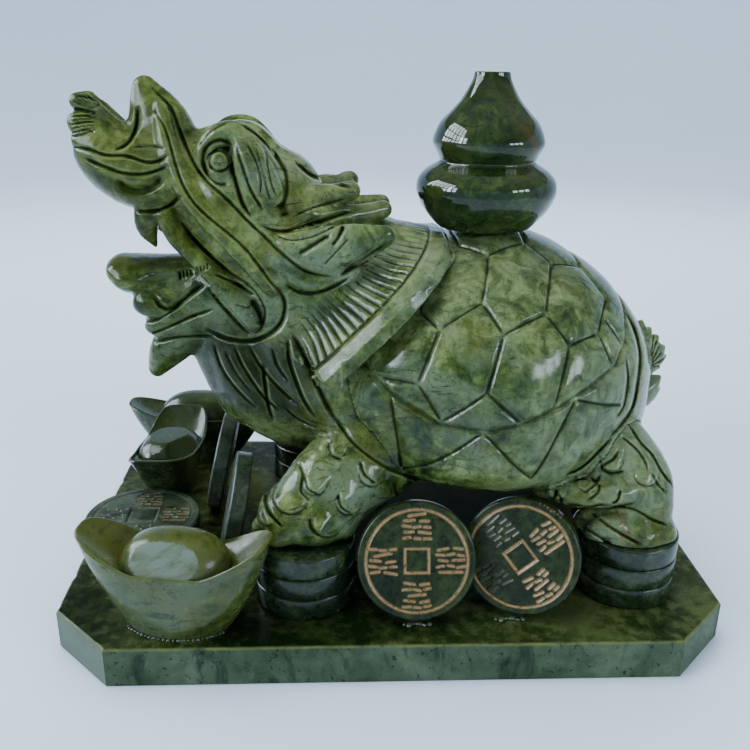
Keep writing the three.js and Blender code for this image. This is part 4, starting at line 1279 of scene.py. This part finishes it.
# The material and the form of each ingot
INGOTS = {
    "ingot_front": (INGOT_JADE, dict(
        x=-94.3, y=-80.6, turn=-9, length=83.5, width=32.6, rim=30, tips=(43.5, 43.5), foot_length=47,
        foot_width=30, flare=0.62, dome=43, chips=[(222, 5, 0.9), (232, 3, 0.6)],
        facets=[(-3, -15.2, 27.2, -0.03, -0.85, 0.5, 1.0)])),
    "ingot_middle": (DARK_INGOT, dict(
        x=-119, y=40.5, turn=90, length=62, width=34, rim=26, tips=(31, 37.5), foot_length=30,
        foot_width=24, flare=0.35, dome=33.5, square=6.0, taper=0.2, shear=0.13,
        facets=[(0, 0, 32.0, 0, 0, 1, 0.0), (-8, 13, 28.0, -0.1, 0.8, 0.6, 0.0),
                (-13, -4, 29.0, -0.45, -0.65, 0.6, 0.0), (-14, 4, 29.5, -0.6, 0.12, 0.75, 1.0)])),
    "ingot_back": (DARK_INGOT, dict(
        x=-109, y=87, turn=0, length=84, width=29, rim=26, tips=(33.5, 33.5), foot_length=46,
        foot_width=26, flare=0.62, dome=39)),
}


def glue_drops():
    """Drops round the near side of the front ingot's foot, and lumps before the two leaning coins."""
    ingot = INGOTS["ingot_front"][1]
    turn = math.radians(ingot["turn"])
    drops = []
    for k in range(24):
        angle = math.radians(214 + 5.1 * k)
        along, across = 24.2 * math.cos(angle), 15.6 * math.sin(angle)
        x = ingot["x"] + along * math.cos(turn) - across * math.sin(turn)
        y = ingot["y"] + along * math.sin(turn) + across * math.cos(turn)
        drops.append((x, y, PLINTH_TOP - 0.1, 0.6 + 0.4 * math.sin(2.1 * k) ** 2))
    for x, y, spread in ((8.9, -88.4, 2.2), (50.0, -85.6, 2.4)):
        for k in range(6):
            size = 0.8 + 0.6 * math.sin(1.7 * k) ** 2
            drops.append((x + spread * (k - 2.5), y - 0.6 * math.sin(1.9 * k), PLINTH_TOP + 0.4, size))
    return drops


dress(field_mesh("figure_looks", carve_figure()), "dragon_turtle", FIGURE)
dress(plinth_piece(), "plinth", plinth_jade())
for end, (x, y) in FEET.items():
    for side, sign in (("near", -1), ("far", 1)):
        node = f"coin_stack_{end}_{side}"
        dress(stack_piece(f"{node}_looks", x, sign * y, x * 0.1 + sign), node, STACK_JADE)
dress(gourd_piece(FIGURE_SOLE + SHELL_TOP + GAP), "gourd", GOURD_JADE)
for node, (material, form) in COINS.items():
    dress(coin_piece(f"{node}_looks", **form), node, material)
for node, (material, form) in INGOTS.items():
    dress(ingot_piece(f"{node}_looks", **form), node, material)

glue = beads_piece("glue_beads", glue_drops())
glue.data.materials.append(plain("dried_glue", (0.07, 0.09, 0.06), 0.05, 0.4))
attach(glue, "root")


# Floor, light and camera

def sweep_floor():
    """A pale floor that bends up into a wall all round."""
    flat, bend, top, sides = 1500.0, 900.0, 1150.0, 96
    turns = np.linspace(0.1, math.pi / 2, 12)
    profile = [(flat * i / 6, 0.0) for i in range(1, 7)]
    profile += [(flat + bend * math.sin(a), bend * (1 - math.cos(a))) for a in turns]
    profile += [(flat + bend, bend + (top - bend) * t) for t in (0.5, 1.0)]
    rings = []
    for r, z in profile:
        a = np.arange(sides) * 2 * math.pi / sides
        rings.append(np.stack([r * np.cos(a), r * np.sin(a), 0 * a + z], 1))
    points, faces = skin(rings, caps=False)
    points = points + [np.zeros(3)]
    faces += [(len(points) - 1, i, (i + 1) % sides) for i in range(sides)]
    floor = new_piece("floor", points, faces, sharp=80)
    floor.data.materials.append(plain("pale_floor", (0.71, 0.84, 1.0), 0.7, 0.02))


def area(name, place, size, power, aim=(0, 0, 110), colour=(1, 1, 1), gloss=True, shine_only=False):
    """A soft lamp, of size in metres, which gloss doesn't show or which only gloss shows, where asked."""
    light = bpy.data.lights.new(name, "AREA")
    light.shape = "RECTANGLE"
    light.size, light.size_y = size
    light.energy = power
    light.color = colour
    lamp = bpy.data.objects.new(name, light)
    bpy.context.scene.collection.objects.link(lamp)
    lamp.visible_glossy = gloss
    lamp.visible_diffuse = not shine_only
    lamp.location = Vector(place) * MM
    way = (Vector(aim) - Vector(place)) * MM
    lamp.rotation_mode = "QUATERNION"
    lamp.rotation_quaternion = way.to_track_quat("-Z", "Y")


def studio_world():
    """A dome that is bright overhead and dim towards the horizon."""
    world = bpy.data.worlds.new("studio")
    world.use_nodes = True
    tree = world.node_tree
    place = tree.nodes.new("ShaderNodeTexCoord")
    parts = tree.nodes.new("ShaderNodeSeparateXYZ")
    height = tree.nodes.new("ShaderNodeMapRange")
    for socket, value in (("From Min", 0.2), ("From Max", 0.95), ("To Min", 0.08), ("To Max", 0.6)):
        height.inputs[socket].default_value = value
    tree.links.new(place.outputs["Generated"], parts.inputs["Vector"])
    tree.links.new(parts.outputs["Z"], height.inputs["Value"])
    tree.links.new(height.outputs["Result"], tree.nodes["Background"].inputs["Strength"])
    tree.nodes["Background"].inputs["Color"].default_value = (0.86, 0.92, 1.0, 1)
    bpy.context.scene.world = world


PANE = (0.16, 0.2)
PANE_COLOUR = (0.76, 0.88, 1.0)


def window(name, place, across, up, power, shine_only=False):
    """A far window of separate panes, which shows as small bright spots on the gloss."""
    side = Vector((-place[1], place[0], 0)).normalized()
    for i in range(across):
        for k in range(up):
            shift = side * (i - (across - 1) / 2) * 220 + Vector((0, 0, (k - (up - 1) / 2) * 260))
            pane = Vector(place) + shift
            area(f"{name}_{i}_{k}", pane, PANE, power, colour=PANE_COLOUR, shine_only=shine_only)


sweep_floor()
studio_world()
area("overhead", (-250, 100, 1300), (1.0, 0.8), 17, gloss=False)
area("behind", (300, 1100, 1000), (1.2, 0.5), 6, gloss=False)
window("left_window", (-1180, -540, 620), 2, 2, 2.6)
window("right_window", (900, -760, 520), 3, 1, 2.2)
window("sky", (-1230, 90, 860), 6, 4, 2.0, shine_only=True)
area("on_the_wall", (0, 500, 1000), (2.2, 0.8), 17, aim=(0, 2400, 350), colour=(0.85, 0.93, 1.0),
     gloss=False)

SENSOR = 36.0
lens = bpy.data.cameras.new("camera")
lens.sensor_fit = "HORIZONTAL"
lens.sensor_width = SENSOR
lens.lens = SENSOR * FOCAL / PHOTO
lens.clip_start, lens.clip_end = 0.01, 20
camera = bpy.data.objects.new("camera", lens)
bpy.context.scene.collection.objects.link(camera)
turned = Matrix((RIGHT, UP, -FORWARD)).transposed().to_4x4()
camera.matrix_world = Matrix.Translation(Vector(CAMERA) * MM) @ turned
bpy.context.scene.camera = camera
